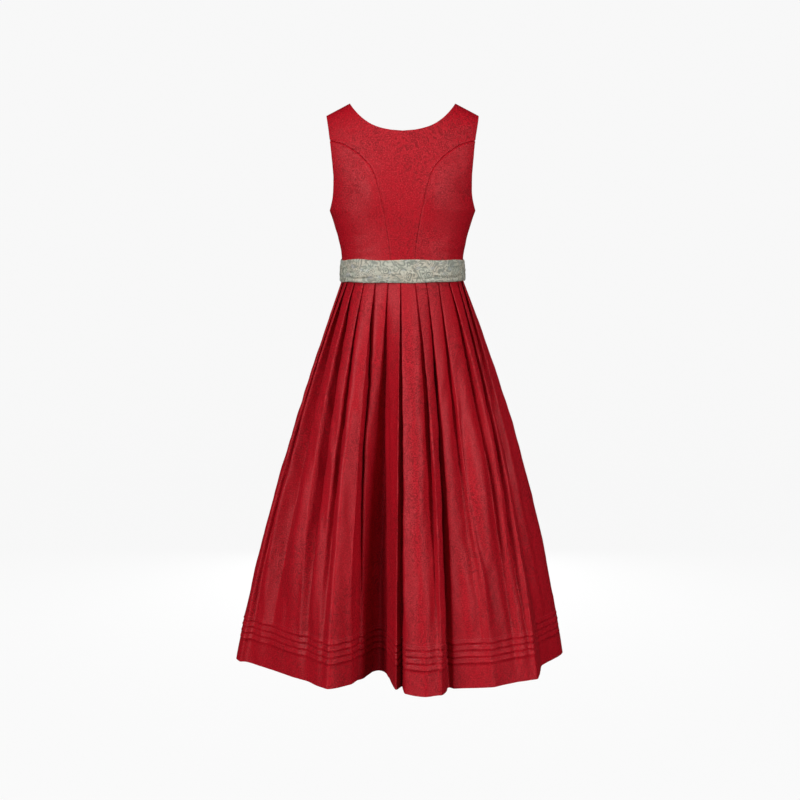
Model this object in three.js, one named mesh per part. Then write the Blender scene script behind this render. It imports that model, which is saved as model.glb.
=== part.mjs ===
// Sleeveless dress with a round neck, curved bodice seams, a waist sash and a knife-pleated skirt.
// It keeps the hollow form it has when worn. Units are millimetres and Z is up.
// The front faces -Y, and the origin lies midway between the two shoulder seams at neck height.
import * as THREE from 'three';
import { mergeVertices } from 'three/addons/utils/BufferGeometryUtils.js';

// ---- Driving sizes -------------------------------------------------------------------------
const SEAM_GAP = 0.3;          // left open between two pieces that are sewn together
const BODICE_WALL = 1.2;       // cloth of the bodice with what backs it
const SKIRT_WALL = 1.0;        // cloth of the skirt
const SASH_WALL = 1.6;         // folded cloth of the sash

const NECK_HALF = 121;         // middle of the body to the neck end of a shoulder seam
const TIP_HALF = 175;          // middle of the body to the outer end of a shoulder seam
const TIP_FALL = 28;           // outer end of a shoulder seam below its neck end
const NECK_ROUND = 60;         // inside this the shoulder slope is rounded over
const LEVEL_AT = 230;          // below this drop the rows run level
const CROWN = 150;             // drop over which the cloth turns from flat to upright
const OVAL = 2.2;              // roundness of the level sections of the bodice

const ARM_Z = -244;            // lowest point of an armhole
const NECK_FRONT_Z = -66;      // lowest point of the neckline in front
const NECK_BACK_Z = -75;       // lowest point of the neckline behind
const SEAM_START_Z = -86.5;    // where a curved front seam leaves the armhole
const WAIST_Z = -380;          // seam between bodice and skirt
const SASH_TOP_Z = -356;       // upper edge of the sash
const SASH_LOW_Z = -406.5;     // lower edge of the sash
const HEM_Z = -1306;           // lower edge of the skirt

const WAIST_HALF = 142.4;      // skirt at the waist, from side to side, halved
const WAIST_FRONT = 102.6;     // and from the middle to the front
const WAIST_BACK = 98.6;       // and from the middle to the back
const FLARE = 0.4;             // how much sooner the skirt widens than a straight cone
const PLEAT_TURN = 90 / 7;     // degrees that a pleat takes at the waist
const LAYER = 1.8;             // from one layer of a pressed pleat to the next
const LAYER_TILT = 2.2;        // layers by which a valley lies under a full pleat at the waist
const EDGE_LIFT = 2;           // how far a pressed edge stands off at mid length
const FACE_STEP = 2.5;         // a pleat's face ends this far short of the next edge
const SIDE_DEGREES = 85;       // where the last face ends at the waist, by the side seam
const SIDE_INSET = 0.6;        // and how far it lies in there

const TUCKS_Z = [-1207, -1221.5, -1236, -1250.5];   // lower edges of the four tucks
const TUCK_RISE = 1.4;         // how far a tuck stands off the cloth below it
const SASH_LAP = 40;           // end of the sash laid over its start at the back

// ---- Tables ----------------------------------------------------------------------------------
// Bodice sections: half width, and depth of the front and the back, by drop below the shoulder.
const TORSO = table('drop half front back', [
  [0, 192, 88, 86],
  [60, 188, 90, 92],
  [110, 183, 96, 99],
  [160, 176, 106, 104],
  [200, 170.5, 109, 104],
  [225, 169.2, 109, 103],
  [244, 168.8, 108.3, 101.5],
  [249, 167, 108, 101],
  [262, 162.4, 107, 100],
  [284, 155.6, 105, 98],
  [302, 150, 103.5, 97],
  [321, 145.6, 102, 96.5],
  [339, 142.2, 101, 96.5],
  [358, 140.6, 100, 96],
  [380, 139.8, 100, 96],
]);

// Neckline in front and behind: half width by height.
const NECK_FRONT = table('z half', [
  [0, 121], [-8, 116], [-19, 107.5], [-31, 96.5], [-42, 83.5], [-50.5, 70], [-57, 54.5], [-62, 36],
  [-65, 17], [-66, 0],
]);
const NECK_BACK = table('z half', [
  [0, 121], [-8, 115], [-26, 105], [-44, 91], [-57, 75], [-66, 55], [-72, 32], [-74.6, 10], [-75, 0],
]);

// Armhole edge, the same in front and behind: half width by height.
const ARMHOLE = table('z half', [
  [-28, 175], [-46, 172.4], [-65, 169.4], [-86.5, 166.2], [-101, 164.2], [-137, 160.6],
  [-174, 158.4], [-200, 158.8], [-216, 160.6], [-230, 164.2], [ARM_Z, 168.8],
]);

// Curved front seam: half distance from the middle by height.
const FRONT_SEAM = table('z half', [
  [-86.5, 166.2], [-87.6, 161.6], [-94.1, 138], [-108.1, 112.6], [-127.3, 88.8], [-151.9, 68.7],
  [-178.7, 58], [-203, 52.4], [-227.7, 46.8], [-261, 40.3], [-290, 36], [-324, 30.6], [-350.8, 28.6],
  [-380, 27.1],
]);

// Folds of the skirt, counted from the middle outward. "turn" is where the pressed edge lies at
// the waist, in degrees from the middle, and "swing" how far the fold sways outward at mid
// length. Places on the hem are the distance from the middle line, the distance in front of or
// behind the axis, and a width: first the valley, then the pressed edge, then the crest of the
// face. "mid" is the extra depth of the valley at mid length, and "lap" the share of the pleat
// that lies under at the waist.
const FOLD_COLUMNS = 'turn swing vx vy vw ex ey ew cx cy mid lap';
const FRONT_RIGHT = table(FOLD_COLUMNS, [
  [-1.1, 0, 0, 236, 6, 5, 284, 8, 48, 310, 14, 0.5],
  [11.9, 8, 76, 298, 6, 88, 293, 8, 99, 262, 26, 0.65],
  [22.9, 6, 102, 240, 8, 116, 248, 6, 152, 242, 30, 0.65],
  [35.7, -8, 188, 240, 8, 206, 236, 6, 238, 212, 16, 0.65],
  [49.1, 8, 262, 198, 6, 277, 192, 6, 289, 185, 20, 0.65],
  [64.3, 2, 297, 182, 5, 309, 175, 8, 318, 130, 12, 0.65],
  [77.1, 6, 326, 78, 10, 341, 48, 8, 361, 18, 8, 0.65],
]);
const FRONT_LEFT = table(FOLD_COLUMNS, [
  [2.2, 0, 4, 234, 4, 16, 254, 14, 34, 150, 0, 0.03],
  [13.8, 5, 48, 116, 18, 70, 124, 8, 90, 176, 16, 0.15],
  [26.4, 7, 104, 190, 6, 116, 216, 6, 163, 260, 34, 0.65],
  [38.5, 9, 182, 238, 6, 194, 224, 8, 212, 200, 20, 0.65],
  [51.2, 16, 226, 186, 8, 242, 171, 8, 288, 124, 34, 0.65],
  [64.3, 8, 322, 88, 8, 342, 68, 8, 360, 50, 24, 0.65],
  [77.1, -2, 372, 42, 8, 386, 40, 6, 398, 14, 8, 0.65],
]);
const BACK_RIGHT = table(FOLD_COLUMNS, [
  [0.5, 0, 8, 226, 6, 6, 262, 8, 50, 292, 12, 0.5],
  [12.6, 6, 90, 260, 8, 99, 274, 6, 132, 270, 24, 0.65],
  [25.4, 4, 150, 222, 8, 160, 238, 8, 186, 236, 22, 0.65],
  [38.2, -3, 206, 192, 8, 220, 206, 8, 250, 200, 16, 0.65],
  [51, 7, 264, 156, 8, 280, 166, 8, 308, 148, 22, 0.65],
  [64.3, 5, 314, 108, 8, 332, 112, 8, 356, 98, 14, 0.65],
  [77.1, 6, 358, 62, 8, 376, 58, 8, 391, 42, 6, 0.65],
]);
const BACK_LEFT = table(FOLD_COLUMNS, [
  [0.5, 0, 8, 230, 6, 6, 266, 8, 44, 288, 14, 0.5],
  [13.2, 5, 78, 250, 8, 86, 268, 6, 124, 272, 22, 0.65],
  [26, 7, 150, 218, 8, 158, 236, 8, 190, 238, 24, 0.65],
  [38.4, 4, 214, 188, 8, 226, 204, 8, 252, 198, 20, 0.65],
  [51.4, -2, 270, 150, 8, 286, 160, 8, 312, 142, 16, 0.65],
  [64.3, 4, 324, 100, 8, 340, 102, 8, 362, 84, 14, 0.65],
  [77.1, -2, 370, 58, 8, 384, 52, 8, 394, 34, 6, 0.65],
]);
const MIDDLE_FRONT = { x: -5, y: -225, waistX: -4.1 };    // hem and waist at the middle of the front
const MIDDLE_BACK = { x: 0, y: 222, waistX: 0 };          // and at the seam in the middle of the back
const SIDE_RIGHT = { x: 380, y: 10, swing: 6 };           // hem at the side seams
const SIDE_LEFT = { x: -397, y: 6, swing: 2 };

// Sash from its lower edge to its upper one: how far its inner face lies out from the bodice.
const SASH = table('z out', [
  [SASH_LOW_Z, 4.2], [-396, 4.6], [WAIST_Z, 4.2], [-366, 2.6], [SASH_TOP_Z, 1.1],
]);

// Soft swellings of the bodice: where each is highest, its spread across and down, its height.
const BUST = { x: 76, z: -205, across: 42, down: 52, out: 9 };
const BLADE = { x: 82, z: -150, across: 46, down: 70, out: 5 };

// ---- Reading the tables ------------------------------------------------------------------------
function table(columns, rows) {
  return { names: columns.split(' '), rows };
}

function cell(from, row, name) {
  return from.rows[row][from.names.indexOf(name)];
}

// Smooth reading between the rows that never swings past them.
function look(from, name, at) {
  const rising = from.rows[0][0] < from.rows[from.rows.length - 1][0];
  const rows = rising ? from.rows : [...from.rows].reverse();
  const column = from.names.indexOf(name);
  const last = rows.length - 1;
  if (at <= rows[0][0]) return rows[0][column];
  if (at >= rows[last][0]) return rows[last][column];
  let low = 0;
  while (rows[low + 1][0] < at) low += 1;
  const step = (row) => rows[row + 1][0] - rows[row][0];
  const slope = (row) => (rows[row + 1][column] - rows[row][column]) / step(row);
  const tangent = (row) => {
    if (row === 0) return slope(0);
    if (row === last) return slope(last - 1);
    const before = slope(row - 1);
    const after = slope(row);
    return before * after <= 0 ? 0 : (2 * before * after) / (before + after);
  };
  const span = step(low);
  const t = (at - rows[low][0]) / span;
  const t2 = t * t;
  const t3 = t2 * t;
  return (2 * t3 - 3 * t2 + 1) * rows[low][column] + (t3 - 2 * t2 + t) * span * tangent(low)
    + (3 * t2 - 2 * t3) * rows[low + 1][column] + (t3 - t2) * span * tangent(low + 1);
}

// ---- Closed solids from two faces of cloth -------------------------------------------------------
// Both faces are grids of the same size. A side named in "open" gets no edge wall.
function clothTriangles(outer, inner, open = {}) {
  const triangles = [];
  const rows = outer.length;
  const columns = outer[0].length;
  const add = (a, b, c) => triangles.push([a, b, c]);
  for (let i = 0; i + 1 < rows; i += 1) {
    for (let j = 0; j + 1 < columns; j += 1) {
      const falling = outer[i][j].distanceTo(outer[i + 1][j + 1]);
      const climbing = outer[i + 1][j].distanceTo(outer[i][j + 1]);
      for (const [face, flip] of [[outer, false], [inner, true]]) {
        const a = face[i][j];
        const b = face[i + 1][j];
        const c = face[i + 1][j + 1];
        const d = face[i][j + 1];
        const pair = falling <= climbing ? [[a, b, c], [a, c, d]] : [[a, b, d], [b, c, d]];
        for (const [p, q, r] of pair) {
          if (flip) add(p, r, q);
          else add(p, q, r);
        }
      }
    }
  }
  const edge = (a, b, c, d) => {
    add(a, b, c);
    add(a, c, d);
  };
  for (let i = 0; i + 1 < rows; i += 1) {
    const end = columns - 1;
    if (!(open.start && open.start(i))) edge(outer[i][0], inner[i][0], inner[i + 1][0], outer[i + 1][0]);
    edge(outer[i][end], outer[i + 1][end], inner[i + 1][end], inner[i][end]);
  }
  for (let j = 0; j + 1 < columns; j += 1) {
    const end = rows - 1;
    edge(outer[0][j], outer[0][j + 1], inner[0][j + 1], inner[0][j]);
    edge(outer[end][j], inner[end][j], inner[end][j + 1], outer[end][j + 1]);
  }
  return triangles;
}

function volumeOf(triangles) {
  const cross = new THREE.Vector3();
  let sum = 0;
  for (const [a, b, c] of triangles) sum += a.dot(cross.crossVectors(b, c)) / 6;
  return sum;
}

function facingOut(triangles) {
  if (volumeOf(triangles) >= 0) return triangles;
  return triangles.map(([a, b, c]) => [a, c, b]);
}

function mirrored(triangles) {
  const flip = (p) => new THREE.Vector3(-p.x, p.y, p.z);
  return triangles.map(([a, b, c]) => [flip(a), flip(c), flip(b)]);
}

function solid(name, triangles, colour, roughness) {
  const flat = [];
  for (const corners of triangles) {
    for (const p of corners) flat.push(p.x, p.y, p.z);
  }
  const geometry = new THREE.BufferGeometry();
  geometry.setAttribute('position', new THREE.Float32BufferAttribute(flat, 3));
  const merged = mergeVertices(geometry, 1e-3);
  merged.computeVertexNormals();
  const material = new THREE.MeshStandardMaterial({ color: colour, roughness, metalness: 0 });
  const mesh = new THREE.Mesh(merged, material);
  mesh.name = name;
  return mesh;
}

// ---- The form of the bodice ------------------------------------------------------------------------
// Height of the shoulder line over a place this far from the middle.
function shoulderLine(x) {
  const slope = TIP_FALL / (TIP_HALF - NECK_HALF);
  const far = Math.abs(x);
  if (far >= NECK_ROUND) return slope * (NECK_HALF - far);
  return slope * (NECK_HALF - NECK_ROUND + (NECK_ROUND ** 2 - far ** 2) / (2 * NECK_ROUND));
}

function heightAt(x, drop) {
  const share = Math.max(0, 1 - drop / LEVEL_AT) ** 1.5;
  return shoulderLine(x) * share - drop;
}

// The drop at which a place this far from the middle has this height.
function dropAt(x, z) {
  let low = 0;
  let high = 500;
  for (let i = 0; i < 40; i += 1) {
    const middle = (low + high) / 2;
    if (heightAt(x, middle) > z) low = middle;
    else high = middle;
  }
  return (low + high) / 2;
}

function swelling(at, x, z) {
  return at.out * Math.exp(-(((x - at.x) / at.across) ** 2) - ((z - at.z) / at.down) ** 2);
}

// Outer face of the bodice. Turn is 0 in the middle and a quarter turn at the side.
function torsoPoint(turn, drop, side) {
  const half = look(TORSO, 'half', drop);
  const depth = look(TORSO, side < 0 ? 'front' : 'back', drop);
  const over = 1 - Math.min(drop, CROWN) / CROWN;
  const crown = Math.sqrt(Math.max(0, 1 - over * over));
  const sine = Math.max(0, Math.sin(turn));
  const cosine = Math.max(0, Math.cos(turn));
  const x = half * sine ** (2 / OVAL);
  const z = heightAt(x, drop);
  const form = swelling(side < 0 ? BUST : BLADE, x, z);
  const y = crown * (depth * cosine ** (2 / OVAL) + form * Math.min(1, 3 * cosine));
  return new THREE.Vector3(x, side * (y + SEAM_GAP / 2), z);
}

function turnAt(x, drop) {
  const share = Math.min(1, Math.max(0, x / look(TORSO, 'half', drop)));
  return Math.asin(share ** (OVAL / 2));
}

// Outward direction of the bodice, from how its face runs around and down.
function torsoNormal(turn, drop, side) {
  const quarter = Math.PI / 2;
  const around = torsoPoint(Math.min(quarter, turn + 0.01), drop, side)
    .sub(torsoPoint(Math.max(0, turn - 0.01), drop, side));
  const step = 0.02;
  const angle = Math.acos(1 - Math.min(drop, CROWN) / CROWN);
  const below = drop < CROWN - 1 ? CROWN * (1 - Math.cos(Math.min(quarter, angle + step))) : drop + 3;
  const above = drop < CROWN - 1 ? CROWN * (1 - Math.cos(Math.max(0, angle - step))) : drop - 3;
  const down = torsoPoint(turn, below, side).sub(torsoPoint(turn, above, side));
  const normal = side < 0 ? down.cross(around) : around.cross(down);
  return normal.normalize();
}

// Two faces of a panel from a grid of places, each a distance from the middle and a drop.
function panelFaces(places, side) {
  const outer = [];
  const inner = [];
  for (const row of places) {
    const outerRow = [];
    const innerRow = [];
    for (const [x, drop] of row) {
      const turn = turnAt(x, drop);
      const point = torsoPoint(turn, drop, side);
      const normal = torsoNormal(turn, drop, side);
      if (x < 1) normal.x = 0;
      if (turn > Math.PI / 2 - 1e-6) normal.y = 0;
      if (drop < 1e-6) normal.y = 0;
      normal.normalize();
      outerRow.push(point);
      innerRow.push(point.clone().addScaledVector(normal, -BODICE_WALL));
    }
    outer.push(outerRow);
    inner.push(innerRow);
  }
  return [outer, inner];
}

// Distance from the middle at a drop, on an edge that is given by height.
function edgeAt(edge, drop) {
  let low = 0;
  let high = 200;
  for (let i = 0; i < 40; i += 1) {
    const middle = (low + high) / 2;
    const across = look(edge, 'half', heightAt(middle, drop));
    if (across > middle) low = middle;
    else high = middle;
  }
  return (low + high) / 2;
}

// Half a seam gap, measured across the seam rather than along a row.
function gapAlong(edge, drop) {
  const slope = (edgeAt(edge, drop + 1) - edgeAt(edge, drop - 1)) / 2;
  return (SEAM_GAP / 2) * Math.sqrt(1 + slope * slope);
}

const SEAM_DROP = dropAt(look(ARMHOLE, 'half', SEAM_START_Z), SEAM_START_Z);
const NECK_DROP = dropAt(0, NECK_FRONT_Z);
const NECK_BACK_DROP = dropAt(0, NECK_BACK_Z);
const ARM_DROP = -ARM_Z;
const END_DROP = -WAIST_Z - SEAM_GAP / 2;

const UPPER_ROWS = [0, 1.4, 5.5, 12.5, 22, 34, 48, 61];
const LOWER_ROWS = [136, 152, 170, 190, 211, 226, ARM_DROP, 262, 290, 320, 350, END_DROP];
const FRONT_ROWS = [...UPPER_ROWS, SEAM_DROP, SEAM_DROP + 3.5, 82, NECK_DROP, 97, 108, 121, ...LOWER_ROWS];
const BACK_ROWS = [...UPPER_ROWS, 74, 84, NECK_BACK_DROP, 108, 121, ...LOWER_ROWS];

function armEdge(drop) {
  return drop >= ARM_DROP ? look(TORSO, 'half', drop) : edgeAt(ARMHOLE, drop);
}

function spread(from, to, count, place) {
  const row = [];
  for (let j = 0; j <= count; j += 1) row.push(place(from + ((to - from) * j) / count));
  return row;
}

// A row of places spaced evenly around the form rather than evenly across it.
function levelRow(from, to, drop, count) {
  const half = look(TORSO, 'half', drop);
  return spread(turnAt(from, drop), turnAt(to, drop), count, (turn) => {
    return [half * Math.sin(turn) ** (2 / OVAL), drop];
  });
}

function frontCentre() {
  const places = FRONT_ROWS.map((drop) => {
    const from = drop < NECK_DROP - 1e-6 ? edgeAt(NECK_FRONT, drop) : 0;
    const seam = edgeAt(FRONT_SEAM, drop) - gapAlong(FRONT_SEAM, drop);
    const to = drop <= SEAM_DROP + 1e-6 ? armEdge(drop) : seam;
    return levelRow(from, to, drop, 7);
  });
  const neckRow = FRONT_ROWS.indexOf(NECK_DROP);
  const [outer, inner] = panelFaces(places, -1);
  const half = facingOut(clothTriangles(outer, inner, { start: (row) => row >= neckRow }));
  return [...half, ...mirrored(half)];
}

function frontSide() {
  const rows = FRONT_ROWS.filter((drop) => drop > SEAM_DROP + 1);
  const seam = (drop) => edgeAt(FRONT_SEAM, drop) + gapAlong(FRONT_SEAM, drop);
  const first = rows[0];
  const tip = [armEdge(SEAM_DROP), SEAM_DROP + SEAM_GAP * 1.6];
  const top = spread(0, 1, 9, (t) => [
    seam(first) + (tip[0] - seam(first)) * t,
    first + (tip[1] - first) * t,
  ]);
  const places = [top, ...rows.slice(1).map((drop) => levelRow(seam(drop), armEdge(drop), drop, 9))];
  const [outer, inner] = panelFaces(places, -1);
  return facingOut(clothTriangles(outer, inner));
}

function backPanel() {
  const places = BACK_ROWS.map((drop) => {
    const from = drop < NECK_BACK_DROP - 1e-6 ? edgeAt(NECK_BACK, drop) : 0;
    return levelRow(Math.max(from, SEAM_GAP / 2), armEdge(drop), drop, 9);
  });
  const [outer, inner] = panelFaces(places, 1);
  return facingOut(clothTriangles(outer, inner));
}

// ---- The skirt ----------------------------------------------------------------------------------------
// A place on the waist oval, moved in by some distance along the normal of the oval.
function waistPlace(degrees, inset, back) {
  const turn = THREE.MathUtils.degToRad(degrees);
  const depth = back ? WAIST_BACK : WAIST_FRONT;
  const normalX = Math.sin(turn) / WAIST_HALF;
  const normalY = Math.cos(turn) / depth;
  const length = Math.hypot(normalX, normalY);
  return {
    x: WAIST_HALF * Math.sin(turn) - (inset * normalX) / length,
    y: depth * Math.cos(turn) - (inset * normalY) / length,
  };
}

// One step of this many millimetres along the waist oval, in degrees.
function waistDegrees(degrees, distance, back) {
  const turn = THREE.MathUtils.degToRad(degrees);
  const depth = back ? WAIST_BACK : WAIST_FRONT;
  const speed = Math.hypot(WAIST_HALF * Math.cos(turn), depth * Math.sin(turn));
  return THREE.MathUtils.radToDeg(distance / speed);
}

// Points of one quarter of the skirt from the middle outward: at the waist, at the hem, and how
// far each is drawn in and sways outward at mid length.
function quarter(folds, back) {
  const points = [];
  const last = folds.rows.length - 1;
  for (let k = 0; k <= last; k += 1) {
    const get = (name) => cell(folds, k, name);
    const edge = get('turn');
    const lap = get('lap') * PLEAT_TURN;
    const tilt = LAYER * LAYER_TILT * get('lap');
    const next = k < last ? cell(folds, k + 1, 'turn') : SIDE_DEGREES;
    const under = next - waistDegrees(next, FACE_STEP, back);
    const swing = get('swing');
    const faceSwing = k < last ? (swing + cell(folds, k + 1, 'swing')) / 2 : swing;
    const before = k === 0 ? [0, get('vy')] : [cell(folds, k - 1, 'cx'), cell(folds, k - 1, 'cy')];
    const along = (x0, y0, x1, y1, width) => {
      const length = Math.hypot(x1 - x0, y1 - y0);
      return { x: ((x1 - x0) / length) * width / 2, y: ((y1 - y0) / length) * width / 2 };
    };
    const vale = along(before[0], before[1], get('ex'), get('ey'), get('vw'));
    const brim = along(get('vx'), get('vy'), get('cx'), get('cy'), get('ew'));
    const put = (waist, x, y, mid, sway = swing) => points.push({ waist, hem: { x, y }, mid, swing: sway });
    put(waistPlace(edge + lap, 2 * LAYER + tilt, back), get('vx') - vale.x, get('vy') - vale.y, get('mid'));
    put(waistPlace(edge + lap, LAYER + tilt, back), get('vx') + vale.x, get('vy') + vale.y, get('mid'));
    put(waistPlace(edge, LAYER, back), get('ex') - brim.x, get('ey') - brim.y, 0);
    put(waistPlace(edge, 0, back), get('ex') + brim.x, get('ey') + brim.y, -EDGE_LIFT);
    if (k < last) put(waistPlace(under, 2 * LAYER, back), get('cx'), get('cy'), 0, faceSwing);
    else put(waistPlace(SIDE_DEGREES, SIDE_INSET, back), get('cx'), get('cy'), 0, faceSwing);
  }
  return points;
}

// The whole ring from the right side seam over the front to the left, and on around the back.
function ring() {
  const place = (points, signX, signY) => points.map((p) => ({
    waist: { x: p.waist.x * signX, y: p.waist.y * signY },
    hem: { x: p.hem.x * signX, y: p.hem.y * signY },
    mid: p.mid,
    swing: p.swing * signX,
  }));
  const seam = (waist, hem, name) => ({ waist, hem, mid: 0, swing: hem.swing ?? 0, seam: name });
  const inner = 3 * LAYER;
  return [
    seam({ x: WAIST_HALF - 1, y: 0 }, SIDE_RIGHT, 'right'),
    ...place(quarter(FRONT_RIGHT, false), 1, -1).reverse(),
    seam({ x: MIDDLE_FRONT.waistX, y: -(WAIST_FRONT - inner) }, MIDDLE_FRONT, ''),
    ...place(quarter(FRONT_LEFT, false), -1, -1),
    seam({ x: -(WAIST_HALF - 1), y: 0 }, SIDE_LEFT, 'left'),
    ...place(quarter(BACK_LEFT, true), -1, 1).reverse(),
    seam({ x: MIDDLE_BACK.waistX, y: WAIST_BACK - inner }, MIDDLE_BACK, 'back'),
    ...place(quarter(BACK_RIGHT, true), 1, 1),
  ];
}

// How far the skirt has widened at a height: 0 under the sash and 1 at the hem.
function widened(z) {
  const t = Math.min(1, Math.max(0, (SASH_LOW_Z - z) / (SASH_LOW_Z - HEM_Z)));
  return t * (1 + FLARE * (1 - t));
}

function ringAt(points, z) {
  const share = widened(z);
  return points.map((p) => {
    const middle = 4 * share * (1 - share);
    const x = p.waist.x + (p.hem.x - p.waist.x) * share + middle * p.swing;
    const y = p.waist.y + (p.hem.y - p.waist.y) * share;
    const pull = (middle * p.mid) / Math.hypot(x, y);
    return new THREE.Vector2(x * (1 - pull), y * (1 - pull));
  });
}

// Mitred outward direction at each point of a closed ring.
function ringNormals(points) {
  const count = points.length;
  const across = (a, b) => new THREE.Vector2(a.y - b.y, b.x - a.x).normalize();
  return points.map((point, i) => {
    const before = across(points[(i + count - 1) % count], point);
    const after = across(point, points[(i + 1) % count]);
    const sum = before.clone().add(after);
    if (sum.length() < 0.2) return before;
    const bend = sum.length() / 2;
    return sum.normalize().multiplyScalar(1 / Math.max(0.6, bend));
  });
}

// Rows of the skirt: height, and how far the outer face stands out for the tucks.
function skirtRows() {
  const plain = [-407, -450, -530, -635, -750, -865, -975, -1085, -1195];
  const rows = [[WAIST_Z - SEAM_GAP / 2, 0], ...plain.map((z) => [z, 0])];
  for (const z of TUCKS_Z) rows.push([z, TUCK_RISE], [z - 1, 0]);
  rows.push([HEM_Z, 0]);
  return rows;
}

function skirtPanel(points, fromSeam, toSeam) {
  const count = points.length;
  const start = points.findIndex((p) => p.seam === fromSeam);
  const picked = [];
  for (let i = start; ; i += 1) {
    picked.push(i % count);
    if (i > start && points[i % count].seam === toSeam) break;
  }
  const outer = [];
  const inner = [];
  for (const [z, rise] of skirtRows()) {
    const ringPoints = ringAt(points, z);
    const normals = ringNormals(ringPoints);
    const outerRow = [];
    const innerRow = [];
    picked.forEach((index, order) => {
      const point = ringPoints[index].clone();
      const end = order === 0 || order === picked.length - 1;
      if (end) {
        const toward = ringPoints[picked[order === 0 ? 1 : order - 1]];
        point.add(toward.clone().sub(point).setLength(SEAM_GAP / 2));
      }
      const out = normals[index];
      const far = SKIRT_WALL / 2;
      outerRow.push(new THREE.Vector3(point.x + out.x * (far + rise), point.y + out.y * (far + rise), z));
      innerRow.push(new THREE.Vector3(point.x - out.x * far, point.y - out.y * far, z));
    });
    outer.push(outerRow);
    inner.push(innerRow);
  }
  return facingOut(clothTriangles(outer, inner));
}

// ---- The sash -------------------------------------------------------------------------------------------
function sash() {
  const columns = 64;
  const halfTurn = Math.PI;
  const lapTurn = SASH_LAP / WAIST_HALF;
  const whole = 2 * halfTurn + lapTurn;
  const levels = SASH.rows.map((row) => row[0]);
  const outer = [];
  const inner = [];
  for (const z of levels) {
    const drop = -Math.max(z, WAIST_Z);
    const half = look(TORSO, 'half', drop);
    const out = look(SASH, 'out', z);
    const outerRow = [];
    const innerRow = [];
    for (let j = 0; j <= columns; j += 1) {
      const turn = -halfTurn + (whole * j) / columns;
      const front = Math.cos(turn) > 0;
      const depth = look(TORSO, front ? 'front' : 'back', drop);
      const lapped = Math.min(1, Math.max(0, (turn - halfTurn * 0.9) / (halfTurn * 0.085)));
      const lift = out + lapped * (SASH_WALL + SEAM_GAP * 1.4);
      const cosine = Math.cos(turn);
      const sine = Math.sin(turn);
      const x = Math.sign(sine) * half * Math.abs(sine) ** (2 / OVAL);
      const y = -Math.sign(cosine) * depth * Math.abs(cosine) ** (2 / OVAL);
      const outward = new THREE.Vector2(x / half ** 2, y / depth ** 2).normalize();
      innerRow.push(new THREE.Vector3(x + outward.x * lift, y + outward.y * lift, z));
      const far = lift + SASH_WALL;
      outerRow.push(new THREE.Vector3(x + outward.x * far, y + outward.y * far, z));
    }
    outer.push(outerRow);
    inner.push(innerRow);
  }
  return facingOut(clothTriangles(outer, inner));
}

// ---- The whole dress --------------------------------------------------------------------------------------
const RED = 0xac222c;
const SILVER = 0xa19d92;
const centre = frontCentre();
const sidePiece = frontSide();
const backPiece = backPanel();
const around = ring();

const dress = new THREE.Group();
dress.name = 'dirndl_dress';
dress.add(solid('bodice_front_centre', centre, RED, 0.6));
dress.add(solid('bodice_front_side_right', sidePiece, RED, 0.6));
dress.add(solid('bodice_front_side_left', mirrored(sidePiece), RED, 0.6));
dress.add(solid('bodice_back_right', backPiece, RED, 0.6));
dress.add(solid('bodice_back_left', mirrored(backPiece), RED, 0.6));
dress.add(solid('waist_band', sash(), SILVER, 0.45));
dress.add(solid('skirt_front', skirtPanel(around, 'right', 'left'), RED, 0.6));
dress.add(solid('skirt_back_left', skirtPanel(around, 'left', 'back'), RED, 0.6));
dress.add(solid('skirt_back_right', skirtPanel(around, 'back', 'right'), RED, 0.6));

export default dress;
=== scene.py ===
# %% [markdown]
# A sleeveless dress in its worn form: a fitted bodice with curved seams, a wound sash, and a long
# skirt of knife pleats with four tucks above the hem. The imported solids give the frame. Each
# piece of cloth is drawn again here from the same sizes, finer and softer, and takes the place
# of its solid. Lengths inside the helpers are millimetres, because a pattern is cut in them,
# and they become metres only when a mesh is made.

# %% Load the frame
import math
from functools import partial

import bmesh
import bpy
import numpy as np
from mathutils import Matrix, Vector


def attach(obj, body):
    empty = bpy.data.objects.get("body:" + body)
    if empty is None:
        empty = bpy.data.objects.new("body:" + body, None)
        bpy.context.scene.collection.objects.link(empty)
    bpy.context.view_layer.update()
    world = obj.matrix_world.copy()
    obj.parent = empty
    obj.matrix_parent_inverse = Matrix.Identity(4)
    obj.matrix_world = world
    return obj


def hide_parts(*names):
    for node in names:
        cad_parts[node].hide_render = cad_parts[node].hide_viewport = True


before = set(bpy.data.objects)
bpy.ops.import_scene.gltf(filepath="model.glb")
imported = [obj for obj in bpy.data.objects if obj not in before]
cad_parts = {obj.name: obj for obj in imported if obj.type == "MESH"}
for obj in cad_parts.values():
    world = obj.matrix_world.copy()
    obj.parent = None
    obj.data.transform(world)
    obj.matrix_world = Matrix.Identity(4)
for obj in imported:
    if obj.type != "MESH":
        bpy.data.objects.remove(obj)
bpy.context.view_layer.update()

MM = 0.001

# %% [markdown]
# The cut is a set of named sizes and short tables. A table is read smoothly between its rows by
# a curve that never swings past them, so an outline drawn from a dozen rows stays a clean line.

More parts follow.
